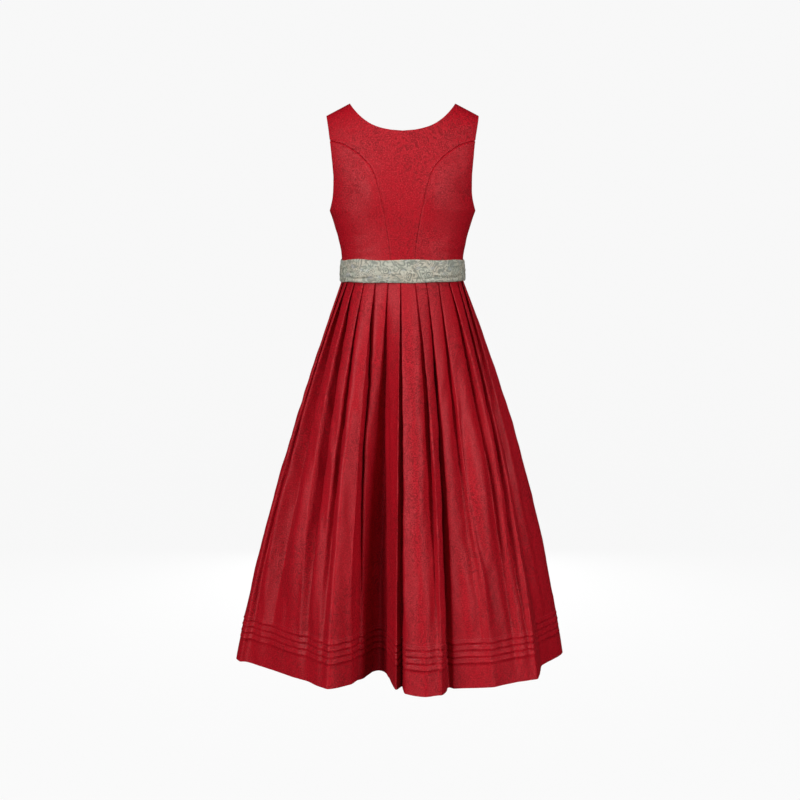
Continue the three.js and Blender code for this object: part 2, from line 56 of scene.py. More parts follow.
# %% Sizes of the cut, in millimetres
NECK_HALF = 121
TIP_HALF = 175
TIP_FALL = 28
NECK_ROUND = 60
LEVEL_AT = 230
CROWN = 150
OVAL = 2.2
ARM_Z = -244
NECK_FRONT_Z = -66
NECK_BACK_Z = -75
SEAM_START_Z = -86.5
WAIST_Z = -380
SASH_TOP_Z = -356
SASH_LOW_Z = -406.5
HEM_Z = -1306
WAIST_HALF = 142.4
WAIST_FRONT = 102.6
WAIST_BACK = 98.6
FLARE = 0.4
PLEAT_TURN = 90 / 7
LAYER = 1.8
LAYER_TILT = 2.2
EDGE_LIFT = 2
FACE_STEP = 2.5
SIDE_DEGREES = 85
SIDE_INSET = 0.6
TUCKS_Z = [-1207, -1221.5, -1236, -1250.5]
BODICE_WALL = 1.2
SKIRT_WALL = 1.0
SASH_WALL = 1.6
SASH_LAP = 40
SEAM_GAP = 0.12
BUST = (9, 76, 42, -205, 52)       # rise, then place and width across and up
BLADE = (5, 82, 46, -150, 70)


# %% Smooth tables
class Table:
    """Rows of numbers with named columns, read by a monotone curve between the rows."""

    def __init__(self, columns, rows):
        self.names = columns.split()
        self.rows = np.array(rows, float)

    def column(self, name):
        return self.rows[:, self.names.index(name)]

    def look(self, name, at):
        at = np.asarray(at, float)
        x, y = self.rows[:, 0], self.column(name)
        if x[0] > x[-1]:
            x, y = x[::-1], y[::-1]
        slope = np.diff(y) / np.diff(x)
        before, after = slope[:-1], slope[1:]
        total = np.where(before * after > 0, before + after, 1.0)
        inner = np.where(before * after > 0, 2 * before * after / total, 0.0)
        tangent = np.concatenate([slope[:1], inner, slope[-1:]])
        clipped = np.clip(at, x[0], x[-1])
        low = np.clip(np.searchsorted(x, clipped, side="right") - 1, 0, len(x) - 2)
        span = x[low + 1] - x[low]
        t = (clipped - x[low]) / span
        return ((2 * t**3 - 3 * t**2 + 1) * y[low] + (t**3 - 2 * t**2 + t) * span * tangent[low]
                + (3 * t**2 - 2 * t**3) * y[low + 1] + (t**3 - t**2) * span * tangent[low + 1])


# %% Tables of the bodice
TORSO = Table("drop half front back", [
    (0, 192, 88, 86), (60, 188, 90, 92), (110, 183, 96, 99), (160, 176, 106, 104),
    (200, 170.5, 109, 104), (225, 169.2, 109, 103), (244, 168.8, 108.3, 101.5),
    (249, 167, 108, 101), (262, 162.4, 107, 100), (284, 155.6, 105, 98), (302, 150, 103.5, 97),
    (321, 145.6, 102, 96.5), (339, 142.2, 101, 96.5), (358, 140.6, 100, 96), (380, 139.8, 100, 96),
])
NECK_FRONT = Table("z half", [
    (0, 121), (-8, 116), (-19, 107.5), (-31, 96.5), (-42, 83.5), (-50.5, 70), (-57, 54.5),
    (-62, 36), (-65, 17), (-66, 0),
])
NECK_BACK = Table("z half", [
    (0, 121), (-8, 115), (-26, 105), (-44, 91), (-57, 75), (-66, 55), (-72, 32), (-74.6, 10),
    (-75, 0),
])
ARMHOLE = Table("z half", [
    (-28, 175), (-46, 172.4), (-65, 169.4), (-86.5, 166.2), (-101, 164.2), (-137, 160.6),
    (-174, 158.4), (-200, 158.8), (-216, 160.6), (-230, 164.2), (ARM_Z, 168.8),
])
FRONT_SEAM = Table("z half", [
    (-86.5, 166.2), (-87.6, 161.6), (-94.1, 138), (-108.1, 112.6), (-127.3, 88.8), (-151.9, 68.7),
    (-178.7, 58), (-203, 52.4), (-227.7, 46.8), (-261, 40.3), (-290, 36), (-324, 30.6),
    (-350.8, 28.6), (-380, 27.1),
])

# %% [markdown]
# The skirt's table has a row for each fold, counted from the middle outward. It gives where the
# valley, the pressed edge and the crest of that fold come to lie on the hem. At the waist the
# same points sit pressed on the waist oval, and the cloth runs from one to the other.

# %% Tables of the skirt
FOLDS = "turn swing vx vy vw ex ey ew cx cy mid lap"
FRONT_RIGHT = Table(FOLDS, [
    (-1.1, 0, 0, 236, 6, 5, 284, 8, 48, 310, 14, 0.5),
    (11.9, 8, 76, 298, 6, 88, 293, 8, 99, 262, 26, 0.65),
    (22.9, 6, 102, 240, 8, 116, 248, 6, 152, 242, 30, 0.65),
    (35.7, -8, 188, 240, 8, 206, 236, 6, 238, 212, 16, 0.65),
    (49.1, 8, 262, 198, 6, 277, 192, 6, 289, 185, 20, 0.65),
    (64.3, 2, 297, 182, 5, 309, 175, 8, 318, 130, 12, 0.65),
    (77.1, 2, 326, 78, 10, 341, 48, 8, 361, 18, 8, 0.65),
])
FRONT_LEFT = Table(FOLDS, [
    (2.2, 0, 4, 234, 4, 16, 254, 14, 34, 150, 0, 0.03),
    (13.8, 5, 48, 116, 18, 70, 124, 8, 90, 176, 16, 0.15),
    (26.4, 7, 104, 190, 6, 116, 216, 6, 163, 260, 34, 0.65),
    (38.5, 9, 182, 238, 6, 194, 224, 8, 212, 200, 20, 0.65),
    (51.2, 16, 226, 186, 8, 242, 171, 8, 288, 124, 34, 0.65),
    (64.3, 8, 322, 88, 8, 342, 68, 8, 360, 50, 24, 0.65),
    (77.1, -7, 372, 42, 8, 386, 40, 6, 398, 14, 8, 0.65),
])
BACK_RIGHT = Table(FOLDS, [
    (0.5, 0, 8, 226, 6, 6, 262, 8, 50, 292, 12, 0.5),
    (12.6, 6, 90, 260, 8, 99, 274, 6, 132, 270, 24, 0.65),
    (25.4, 4, 150, 222, 8, 160, 238, 8, 186, 236, 22, 0.65),
    (38.2, -3, 206, 192, 8, 220, 206, 8, 250, 200, 16, 0.65),
    (51, 7, 264, 156, 8, 280, 166, 8, 308, 148, 22, 0.65),
    (64.3, 5, 314, 108, 8, 332, 112, 8, 356, 98, 14, 0.65),
    (77.1, 3, 358, 62, 8, 376, 58, 8, 391, 42, 6, 0.65),
])
BACK_LEFT = Table(FOLDS, [
    (0.5, 0, 8, 230, 6, 6, 266, 8, 44, 288, 14, 0.5),
    (13.2, 5, 78, 250, 8, 86, 268, 6, 124, 272, 22, 0.65),
    (26, 7, 150, 218, 8, 158, 236, 8, 190, 238, 24, 0.65),
    (38.4, 4, 214, 188, 8, 226, 204, 8, 252, 198, 20, 0.65),
    (51.4, -2, 270, 150, 8, 286, 160, 8, 312, 142, 16, 0.65),
    (64.3, 4, 324, 100, 8, 340, 102, 8, 362, 84, 14, 0.65),
    (77.1, -6, 370, 58, 8, 384, 52, 8, 394, 34, 6, 0.65),
])
MIDDLE_FRONT = ((-4.1, 0), (-5, -225), 0)
MIDDLE_BACK = ((0, 0), (0, 222), 0)
SIDE_RIGHT = ((WAIST_HALF - 1, 0), (380, 10), 3)
SIDE_LEFT = ((1 - WAIST_HALF, 0), (-397, 6), 8)
SASH = Table("z out", [
    (SASH_LOW_Z, 4.2), (-396, 4.6), (WAIST_Z, 4.2), (-366, 2.6), (SASH_TOP_Z, 1.1),
])

# %% [markdown]
# Cloth is never quite even. This helper gives soft, repeatable unevenness: a few sine waves
# whose directions and starts come from a fixed seed. It costs nothing and never jumps.


# %% Soft unevenness
def ripple(u, v, size, seed, count=7):
    """Smooth values between about -1 and 1, with features of about this size."""
    random = np.random.default_rng(seed)
    total = np.zeros(np.broadcast(u, v).shape)
    for _ in range(count):
        angle = random.uniform(0, 2 * math.pi)
        scale = size * random.uniform(0.7, 1.6)
        phase = random.uniform(0, 2 * math.pi)
        total += np.sin(2 * math.pi * (u * math.cos(angle) + v * math.sin(angle)) / scale + phase)
    return total / math.sqrt(count)


def bell(distance, width):
    return np.exp(-((distance / width) ** 2))


def crease(x, z, x0, z0, x1, z1, width, depth):
    """A soft trough, or a ridge where depth is below 0, along a line that fades at its ends."""
    run = math.hypot(x1 - x0, z1 - z0)
    along = ((x - x0) * (x1 - x0) + (z - z0) * (z1 - z0)) / run**2
    bow = 0.06 * run * np.sin(np.clip(along, 0, 1) * math.pi)
    off = ((x - x0) * (z1 - z0) - (z - z0) * (x1 - x0)) / run - bow
    fade = np.clip(1 - np.abs(2 * along - 1) ** 3, 0, 1) * (np.abs(2 * along - 1) < 1)
    return -depth * fade * bell(off, width)


# %% [markdown]
# A piece of cloth is a closed shell with an outer and an inner face. Both faces are grids of the
# same size, so one helper can join them along every edge and lay the cloth's own measure on
# them as a UV map, in metres along and across the grain. The weave then follows the cloth.


# %% Helpers for objects and lengths
def add_object(name, data):
    thing = bpy.data.objects.new(name, data)
    bpy.context.scene.collection.objects.link(thing)
    return thing


def lengths_along(points):
    """Running length along a line of points, or along each row of a grid of them."""
    steps = np.linalg.norm(np.diff(points, axis=-2), axis=-1)
    return np.concatenate([np.zeros(steps.shape[:-1] + (1,)), np.cumsum(steps, axis=-1)], axis=-1)


# %% From two grids to a piece of cloth
ALL_ROWS = 10**6


def grid_quads(rows, columns, open_start):
    """Faces of a shell whose outer face is numbered first and its inner face after it."""
    front = np.arange(rows * columns).reshape(rows, columns)
    back = front + rows * columns

    def band(a, b, c, d):
        return np.stack([a, b, c, d], -1).reshape(-1, 4)

    return np.concatenate([
        band(front[:-1, :-1], front[1:, :-1], front[1:, 1:], front[:-1, 1:]),
        band(back[:-1, :-1], back[:-1, 1:], back[1:, 1:], back[1:, :-1]),
        band(front[:-1, 0], back[:-1, 0], back[1:, 0], front[1:, 0])[:open_start],
        band(front[:-1, -1], front[1:, -1], back[1:, -1], back[:-1, -1]),
        band(front[0, :-1], front[0, 1:], back[0, 1:], back[0, :-1]),
        band(front[-1, :-1], back[-1, :-1], back[-1, 1:], front[-1, 1:]),
    ])


def faces_out(points, quads):
    a, b, c, d = (points[quads[:, i]] for i in range(4))
    volume = np.einsum("ij,ij->i", a, np.cross(b, c) + np.cross(c, d)).sum()
    return quads if volume > 0 else quads[:, ::-1]


def cloth_mesh(name, parts):
    """One mesh from parts, each an outer grid, an inner grid, a UV grid and its open start row."""
    all_points, all_quads, all_uv, rim = [], [], [], []
    base = 0
    for outer, inner, uv, open_start in parts:
        rows, columns = outer.shape[:2]
        points = np.concatenate([outer.reshape(-1, 3), inner.reshape(-1, 3)])
        quads = faces_out(points, grid_quads(rows, columns, open_start))
        edge = np.zeros((rows, columns), bool)
        edge[0] = edge[-1] = edge[:, -1] = edge[: open_start + 1, 0] = True
        all_points.append(points)
        all_quads.append(quads + base)
        all_uv.append(np.concatenate([uv.reshape(-1, 2)] * 2))
        rim.append(np.concatenate([edge.ravel()] * 2))
        base += len(points)
    points, quads = np.concatenate(all_points) * MM, np.concatenate(all_quads)
    uv, rim = np.concatenate(all_uv) * MM, np.concatenate(rim)
    mesh = bpy.data.meshes.new(name)
    mesh.from_pydata(points.tolist(), [], quads.tolist())
    layer = mesh.uv_layers.new(name="cloth")
    corners = np.empty(len(mesh.loops), int)
    mesh.loops.foreach_get("vertex_index", corners)
    layer.data.foreach_set("uv", uv[corners].ravel())
    ends = np.empty(len(mesh.edges) * 2, int)
    mesh.edges.foreach_get("vertices", ends)
    ends = ends.reshape(-1, 2)
    sharp = mesh.attributes.new("sharp_edge", "BOOLEAN", "EDGE")
    sharp.data.foreach_set("value", rim[ends[:, 0]] & rim[ends[:, 1]])
    if len(parts) > 1:
        work = bmesh.new()
        work.from_mesh(mesh)
        bmesh.ops.remove_doubles(work, verts=work.verts, dist=1e-6)
        work.to_mesh(mesh)
        work.free()
    mesh.polygons.foreach_set("use_smooth", np.ones(len(mesh.polygons), bool))
    mesh.update()
    return mesh


def shell_row(line, out, far, near, level, along, v):
    """One row of a shell: its outer points, its inner points and its places on the cloth."""
    return (np.column_stack([line + out * far[:, None], level]),
            np.column_stack([line + out * near[:, None], level]),
            np.column_stack([along, np.full(len(along), v)]))


def cloth_piece(name, parts, material):
    piece = add_object(name, cloth_mesh(name, parts))
    piece.data.materials.append(material)
    area = sum(face.area for face in piece.data.polygons) / 2
    print(f"{name}: {len(piece.data.polygons) * 2} triangles, {area:.3f} square metres of cloth")
    return piece


# %% [markdown]
# Every finish here is woven, so the weave is one shader group that both cloths use. It draws
# crossing threads with slight slubs from the cloth's own UV map and puts out a height. The
# figure group draws the tone-on-tone jacquard: round flower heads of a few petals, and between
# them curling stems that are the contour lines of a soft noise. It is a common kind of damask,
# made from rules, so no drawing is copied.


# %% Helpers for shader groups
def new_group(name, inputs, output):
    """An empty node group with these inputs and one number put out, and its two end nodes."""
    group = bpy.data.node_groups.new(name, "ShaderNodeTree")
    for label, kind in inputs.items():
        group.interface.new_socket(label, in_out="INPUT", socket_type="NodeSocket" + kind)
    group.interface.new_socket(output, in_out="OUTPUT", socket_type="NodeSocketFloat")
    return group, group.nodes.new("NodeGroupInput"), group.nodes.new("NodeGroupOutput")


def feed(tree, socket, value):
    """Link a value that another node gives, or set a plain one. None leaves the socket as it is."""
    if isinstance(value, bpy.types.NodeSocket):
        tree.links.new(value, socket)
    elif value is not None:
        socket.default_value = value


def feed_all(tree, node, **values):
    """Feed each named socket of a node. An underscore stands for a space."""
    for label, value in values.items():
        feed(tree, node.inputs[label.replace("_", " ")], value)
    return node


def math_node(tree, operation, a, b=None, c=None, clamp=False):
    node = tree.nodes.new("ShaderNodeMath")
    node.operation = operation
    node.use_clamp = clamp
    for socket, value in zip(node.inputs, (a, b, c)):
        feed(tree, socket, value)
    return node.outputs[0]


def vector_node(tree, operation, a, b=None, scale=None):
    node = tree.nodes.new("ShaderNodeVectorMath")
    node.operation = operation
    for socket, value in zip(node.inputs, (a, b)):
        feed(tree, socket, value)
    if scale is not None:
        feed(tree, node.inputs["Scale"], scale)
    return node.outputs["Vector"]


def noise_node(tree, vector, scale, detail=2.0, roughness=0.5):
    node = tree.nodes.new("ShaderNodeTexNoise")
    feed_all(tree, node, Vector=vector, Scale=scale, Detail=detail, Roughness=roughness)
    return node.outputs


def soft_step(tree, value, low, high):
    node = tree.nodes.new("ShaderNodeMapRange")
    node.interpolation_type = "SMOOTHSTEP"
    return feed_all(tree, node, Value=value, From_Min=low, From_Max=high).outputs["Result"]


def split_node(tree, vector):
    return feed_all(tree, tree.nodes.new("ShaderNodeSeparateXYZ"), Vector=vector).outputs


def tools(tree):
    """The four helpers for maths, vectors, noise and soft steps, bound to one tree."""
    return [partial(helper, tree) for helper in (math_node, vector_node, noise_node, soft_step)]


def mix_colour(tree, factor, a, b):
    node = tree.nodes.new("ShaderNodeMix")
    node.data_type = "RGBA"
    for name, kind, value in (("Factor", "VALUE", factor), ("A", "RGBA", a), ("B", "RGBA", b)):
        feed(tree, next(s for s in node.inputs if s.name == name and s.type == kind), value)
    return next(s for s in node.outputs if s.type == "RGBA")


# %% The weave, shared by both cloths
def weave_group():
    inputs = {"Cloth": "Vector", "Threads per metre": "Float"}
    group, start, end = new_group("woven_threads", inputs, "Height")
    maths, vector, noise, _ = tools(group)
    cloth = start.outputs["Cloth"]
    threads = split_node(group, vector("SCALE", cloth, scale=start.outputs["Threads per metre"]))
    warp, weft = (maths("SINE", maths("MULTIPLY", threads[axis], 2 * math.pi)) for axis in "XY")
    cross = maths("MULTIPLY", warp, weft)
    long = noise(vector("MULTIPLY", cloth, (160.0, 1500.0, 1.0)), 1.0)
    tall = noise(vector("MULTIPLY", cloth, (1500.0, 160.0, 1.0)), 1.0)
    slub = maths("ADD", long["Fac"], tall["Fac"])
    feed(group, end.inputs["Height"], maths("MULTIPLY_ADD", cross, 0.25, slub))
    return group


WEAVE = weave_group()


# %% The jacquard figure, shared by both cloths
def figure_group():
    inputs = {"Cloth": "Vector", "Repeat": "Float", "Seed": "Vector"}
    group, start, end = new_group("damask_figure", inputs, "Figure")
    maths, vector, noise, step = tools(group)
    scale = maths("DIVIDE", 1.0, start.outputs["Repeat"])
    counted = vector("SCALE", start.outputs["Cloth"], scale=scale)
    place = vector("ADD", counted, start.outputs["Seed"])
    drift = vector("SUBTRACT", noise(place, 1.3, 1.0)["Color"], (0.5, 0.5, 0.5))
    bent = vector("ADD", place, vector("SCALE", drift, scale=0.55))
    flower = group.nodes.new("ShaderNodeTexVoronoi")
    flower.voronoi_dimensions = "2D"
    feed_all(group, flower, Vector=bent, Scale=1.0, Randomness=0.55)
    offset = split_node(group, vector("SUBTRACT", bent, flower.outputs["Position"]))
    angle = maths("ARCTAN2", offset["Y"], offset["X"])
    radius = flower.outputs["Distance"]
    petals = maths("SINE", maths("MULTIPLY", angle, 6.0))
    inside = maths("SUBTRACT", maths("MULTIPLY_ADD", petals, 0.06, 0.25), radius)
    vein = maths("SINE", maths("MULTIPLY", radius, 62.0))
    veined = maths("MULTIPLY", step(inside, -0.015, 0.02), step(vein, -0.6, 0.2))
    outside = maths("SUBTRACT", 1.0, step(inside, -0.1, -0.05))
    turns = maths("SINE", maths("MULTIPLY", noise(bent, 1.7, 1.5, 0.45)["Fac"], 46.0))
    stems = maths("MULTIPLY", step(turns, 0.25, 0.75), outside)
    leaves = maths("MULTIPLY", step(noise(bent, 4.2, 2.0, 0.6)["Fac"], 0.52, 0.58), outside)
    plant = maths("MAXIMUM", stems, maths("MULTIPLY", leaves, 0.7))
    feed(group, end.inputs["Figure"], maths("MAXIMUM", veined, plant))
    return group


FIGURE = figure_group()

# %% [markdown]
# The dress cloth is a deep red jacquard with a soft sheen. The woven figure is a touch darker
# and duller than its ground, large slow clouds vary the tone, fine flecks and sparks break it
# up, and the same figure and weave feed the bump, so light picks the flowers out where a fold
# turns. The sash is a pale silvery brocade in sage, beige and a hint of blue.


# %% Materials
def place_group(tree, group, cloth, **values):
    node = tree.nodes.new("ShaderNodeGroup")
    node.node_tree = group
    return feed_all(tree, node, Cloth=cloth, **values).outputs[0]


def new_material(name):
    """A material, its tree and its shader."""
    material = bpy.data.materials.new(name)
    material.use_nodes = True
    tree = material.node_tree
    return material, tree, next(n for n in tree.nodes if n.type == "BSDF_PRINCIPLED")


def cloth_map(tree):
    node = tree.nodes.new("ShaderNodeUVMap")
    node.uv_map = "cloth"
    return node.outputs["UV"]


def bumped(tree, height, strength, distance):
    node = tree.nodes.new("ShaderNodeBump")
    feed_all(tree, node, Height=height, Strength=strength, Distance=distance)
    return node.outputs["Normal"]


def dress_cloth():
    material, tree, shader = new_material("red_jacquard")
    maths, vector, noise, step = tools(tree)
    cloth = cloth_map(tree)
    weave = place_group(tree, WEAVE, cloth, Threads_per_metre=1400.0)
    figure = place_group(tree, FIGURE, cloth, Repeat=0.043, Seed=(3.1, 7.7, 0.0))
    strength = maths("MULTIPLY_ADD", step(noise(cloth, 6.0)["Fac"], 0.38, 0.6), 0.5, 0.3)
    fleck = noise(vector("MULTIPLY", cloth, (330.0, 230.0, 1.0)), 1.0, 2.0, 0.6)
    flecks = maths("MULTIPLY", step(fleck["Fac"], 0.46, 0.6), 0.45)
    woven = maths("MULTIPLY_ADD", figure, strength, flecks, clamp=True)
    cloud = noise(cloth, 8.0, 3.0, 0.55)
    ground = mix_colour(tree, cloud["Fac"], (0.275, 0.0012, 0.0068, 1), (0.355, 0.0022, 0.01, 1))
    marked = mix_colour(tree, woven, ground, (0.175, 0.001, 0.0046, 1))
    spark = noise(vector("MULTIPLY", cloth, (300.0, 420.0, 1.0)), 1.0, 2.0, 0.6)
    sparks = maths("MULTIPLY", step(spark["Fac"], 0.52, 0.66), 0.75)
    height = maths("MULTIPLY_ADD", woven, -1.2, weave)
    feed_all(
        tree, shader,
        Base_Color=mix_colour(tree, sparks, marked, (0.46, 0.014, 0.022, 1)),
        Roughness=maths("MULTIPLY_ADD", woven, 0.16, 0.47),
        Normal=bumped(tree, height, 0.4, 0.00025),
        Specular_IOR_Level=0.16,
        Sheen_Weight=0.006, Sheen_Roughness=0.4, Sheen_Tint=(1.0, 0.3, 0.3, 1),
    )
    return material


def sash_cloth():
    material, tree, shader = new_material("silver_brocade")
    maths, _, noise, step = tools(tree)
    cloth = cloth_map(tree)
    weave = place_group(tree, WEAVE, cloth, Threads_per_metre=1100.0)
    figure = place_group(tree, FIGURE, cloth, Repeat=0.052, Seed=(1.3, 4.2, 0.0))
    finer = place_group(tree, FIGURE, cloth, Repeat=0.04, Seed=(6.1, 2.9, 0.0))
    warm = step(noise(cloth, 34.0)["Fac"], 0.42, 0.58)
    ground = mix_colour(tree, warm, (0.29, 0.3, 0.245, 1), (0.335, 0.305, 0.24, 1))
    raised = mix_colour(tree, maths("MULTIPLY", figure, 0.55), ground, (0.42, 0.405, 0.335, 1))
    lined = mix_colour(tree, maths("MULTIPLY", finer, 0.72), raised, (0.095, 0.105, 0.088, 1))
    blue = maths("MULTIPLY", step(noise(cloth, 60.0)["Fac"], 0.58, 0.68), 0.35)
    feed_all(
        tree, shader,
        Base_Color=mix_colour(tree, blue, lined, (0.24, 0.26, 0.3, 1)),
        Roughness=maths("MULTIPLY_ADD", figure, -0.12, 0.55),
        Normal=bumped(tree, maths("MULTIPLY_ADD", figure, 1.5, weave), 0.5, 0.0003),
        Specular_IOR_Level=0.35, Sheen_Weight=0.03,
    )
    return material


def thread(name, colour):
    """Sewing thread: a fine twist, a little glossier than the cloth."""
    material, tree, shader = new_material(name)
    where = tree.nodes.new("ShaderNodeTexCoord")
    twist = noise_node(tree, where.outputs["Object"], 2600.0)
    darker = tuple(c * 0.6 for c in colour[:3]) + (1,)
    mixed = mix_colour(tree, twist["Fac"], darker, colour)
    feed_all(tree, shader, Base_Color=mixed, Roughness=0.42)
    return material


RED_CLOTH = dress_cloth()
SILVER_CLOTH = sash_cloth()
RED_THREAD = thread("red_thread", (0.42, 0.02, 0.03, 1))
print("materials", [m.name for m in (RED_CLOTH, SILVER_CLOTH, RED_THREAD)])

# %% [markdown]
# The bodice lies on one smooth form. A place on it is given by a turn around the body and a drop
# below the shoulder line, and every panel is a grid of such places between its own two edges.
# The form turns over at the shoulder like a quarter of an oval, so the straps lie flat on top.


# %% The form of the bodice
def shoulder_line(x):
    slope = TIP_FALL / (TIP_HALF - NECK_HALF)
    far = np.abs(x)
    rounded = slope * (NECK_HALF - NECK_ROUND + (NECK_ROUND**2 - far**2) / (2 * NECK_ROUND))
    return np.where(far >= NECK_ROUND, slope * (NECK_HALF - far), rounded)


def height_at(x, drop):
    share = np.clip(1 - drop / LEVEL_AT, 0, None) ** 1.5
    return shoulder_line(x) * share - drop


def halve(too_low, low, high, steps=40):
    """The place between low and high where too_low turns from true to false."""
    low, high = np.broadcast_arrays(np.asarray(low, float), np.asarray(high, float))
    for _ in range(steps):
        middle = (low + high) / 2
        below = too_low(middle)
        low, high = np.where(below, middle, low), np.where(below, high, middle)
    return (low + high) / 2


def drop_at(x, z):
    return float(halve(lambda drop: height_at(x, drop) > z, 0.0, 500.0))


def edge_at(edge, drops):
    """Distance from the middle at each drop, on an edge that is given by height."""
    drops = np.asarray(drops, float)
    return halve(lambda x: edge.look("half", height_at(x, drops)) > x, 0 * drops, 0 * drops + 200)


def torso_point(turn, drop, side):
    """Points on the outer face. Side is -1 in front and 1 behind."""
    half = TORSO.look("half", drop)
    depth = TORSO.look("front" if side < 0 else "back", drop)
    over = 1 - np.minimum(drop, CROWN) / CROWN
    crown = np.sqrt(np.clip(1 - over * over, 0, None))
    sine, cosine = np.clip(np.sin(turn), 0, None), np.clip(np.cos(turn), 0, None)
    x = half * sine ** (2 / OVAL)
    z = height_at(x, drop)
    rise, x_at, x_width, z_at, z_width = BUST if side < 0 else BLADE
    form = rise * bell(x - x_at, x_width) * bell(z - z_at, z_width)
    y = crown * (depth * cosine ** (2 / OVAL) + form * np.minimum(1, 3 * cosine))
    return np.stack([x, side * (y + SEAM_GAP / 2), z], -1)


def length_down(drops, side):
    """Length of cloth from the shoulder line down to each drop."""
    fine = CROWN * (1 - np.cos(np.linspace(0, math.pi / 2, 80)))
    fine = np.concatenate([fine, np.linspace(CROWN + 5, -WAIST_Z + 10, 50)])
    line = torso_point(np.full(len(fine), 0.9), fine, side)
    return np.interp(drops, fine, lengths_along(line))


def turn_at(x, drop):
    share = np.clip(x / TORSO.look("half", drop), 0, 1)
    return np.arcsin(share ** (OVAL / 2))


def grid_normals(points):
    """Outward direction at each point of a grid that runs down its rows and out along them."""
    down = np.gradient(points, axis=0)
    along = np.gradient(points, axis=1)
    normal = np.cross(down, along)
    length = np.linalg.norm(normal, axis=-1, keepdims=True)
    return normal / np.maximum(length, 1e-9)


SEAM_DROP = drop_at(float(ARMHOLE.look("half", SEAM_START_Z)), SEAM_START_Z)
NECK_DROP = drop_at(0, NECK_FRONT_Z)
NECK_BACK_DROP = drop_at(0, NECK_BACK_Z)
END_DROP = -WAIST_Z - SEAM_GAP / 2
print(f"drops: seam {SEAM_DROP:.1f}, neck {NECK_DROP:.1f} and {NECK_BACK_DROP:.1f}")

# %% [markdown]
# A fitted bodice is smooth, with a few soft drags where it is pulled: from the bust to the side,
# and above the sash where it settles. Each is a row of the table, given as a line in the front
# view with a width and a depth. Seams pull the cloth in a little along their line.

# %% Creases of the bodice
CREASES = "x0 z0 x1 z1 width depth"
FRONT_CREASES = Table(CREASES, [
    (-138, -352, -60, -341, 7, 0.9), (-128, -336, -52, -318, 8, 0.7),
    (142, -350, 72, -338, 7, 0.9), (132, -330, 58, -309, 9, 0.7), (-150, -262, -92, -228, 11, 0.9),
    (150, -266, 98, -226, 11, 0.8), (-160, -240, -112, -180, 10, 0.7),
    (160, -238, 118, -176, 10, 0.8), (-24, -352, 20, -347, 6, 0.5), (-150, -60, -120, -92, 9, 0.5),
    (150, -58, 122, -94, 9, 0.5), (-12, -92, -8, -150, 12, 0.4),
    (-112, -352, -104, -300, 10, -0.8), (104, -354, 98, -300, 10, -0.8),
    (40, -352, 60, -292, 9, 0.6),
])
BACK_CREASES = Table(CREASES, [
    (-134, -346, -40, -330, 9, 1.1), (132, -350, 36, -336, 9, 1.1),
    (-140, -318, -66, -292, 11, 0.9), (140, -322, 60, -298, 11, 0.9),
    (-152, -236, -104, -170, 11, 0.9), (152, -240, 100, -176, 11, 0.8),
    (-26, -352, -18, -250, 9, 0.7), (24, -350, 16, -240, 9, 0.7),
])
SEAM_DEPTH = 1.6
SEAM_WIDTH = 1.1
FAR = 60.0             # stands for a distance where the edge is on another level


def bodice_relief(x, z, side, seam, rim):
    """How far the cloth stands out, with its distances to the nearest seam and cut edge."""
    total = 0.5 * ripple(x, z, 70, 11 if side < 0 else 12) + 0.14 * ripple(x, z, 22, 13)
    for row in (FRONT_CREASES if side < 0 else BACK_CREASES).rows:
        total = total + crease(x, z, *row)
    pulled = 0.35 * bell(seam - 4.5, 2.6) - SEAM_DEPTH * bell(seam, SEAM_WIDTH)
    rolled = -0.5 * (1 - np.clip(rim / 1.8, 0, 1)) ** 2
    return total + pulled + rolled


# %% Panels of the bodice
BACK_START_U = 900     # gives the backs another part of the pattern than the front


def across(count):
    """Shares from 0 to 1 that lie closer together toward both ends."""
    even = np.linspace(0, 1, count)
    return even - 0.8 * np.sin(2 * math.pi * even) / (2 * math.pi)


def places(start, stop, drops, count):
    """Turns and drops of level rows that run between two edges."""
    first, last = turn_at(start, drops), turn_at(stop, drops)
    turns = first[:, None] + (last - first)[:, None] * across(count)
    return turns, np.repeat(drops[:, None], count, axis=1)


def beside_seam(drops, side):
    """Edge of the cloth along the curved seam, 1 for its outer side and -1 for its inner side."""
    slope = (edge_at(FRONT_SEAM, drops + 1) - edge_at(FRONT_SEAM, drops - 1)) / 2
    return edge_at(FRONT_SEAM, drops) + side * SEAM_GAP / 2 * np.sqrt(1 + slope * slope)


def distance_to(edge, x, z, highest, lowest):
    """Distance across the surface from an edge that is given by height between two heights."""
    slope = edge.look("half", z + 0.5) - edge.look("half", z - 0.5)
    distance = np.abs(x - edge.look("half", z)) / np.sqrt(1 + slope**2)
    return np.where((z < highest) & (z > lowest), distance, FAR)


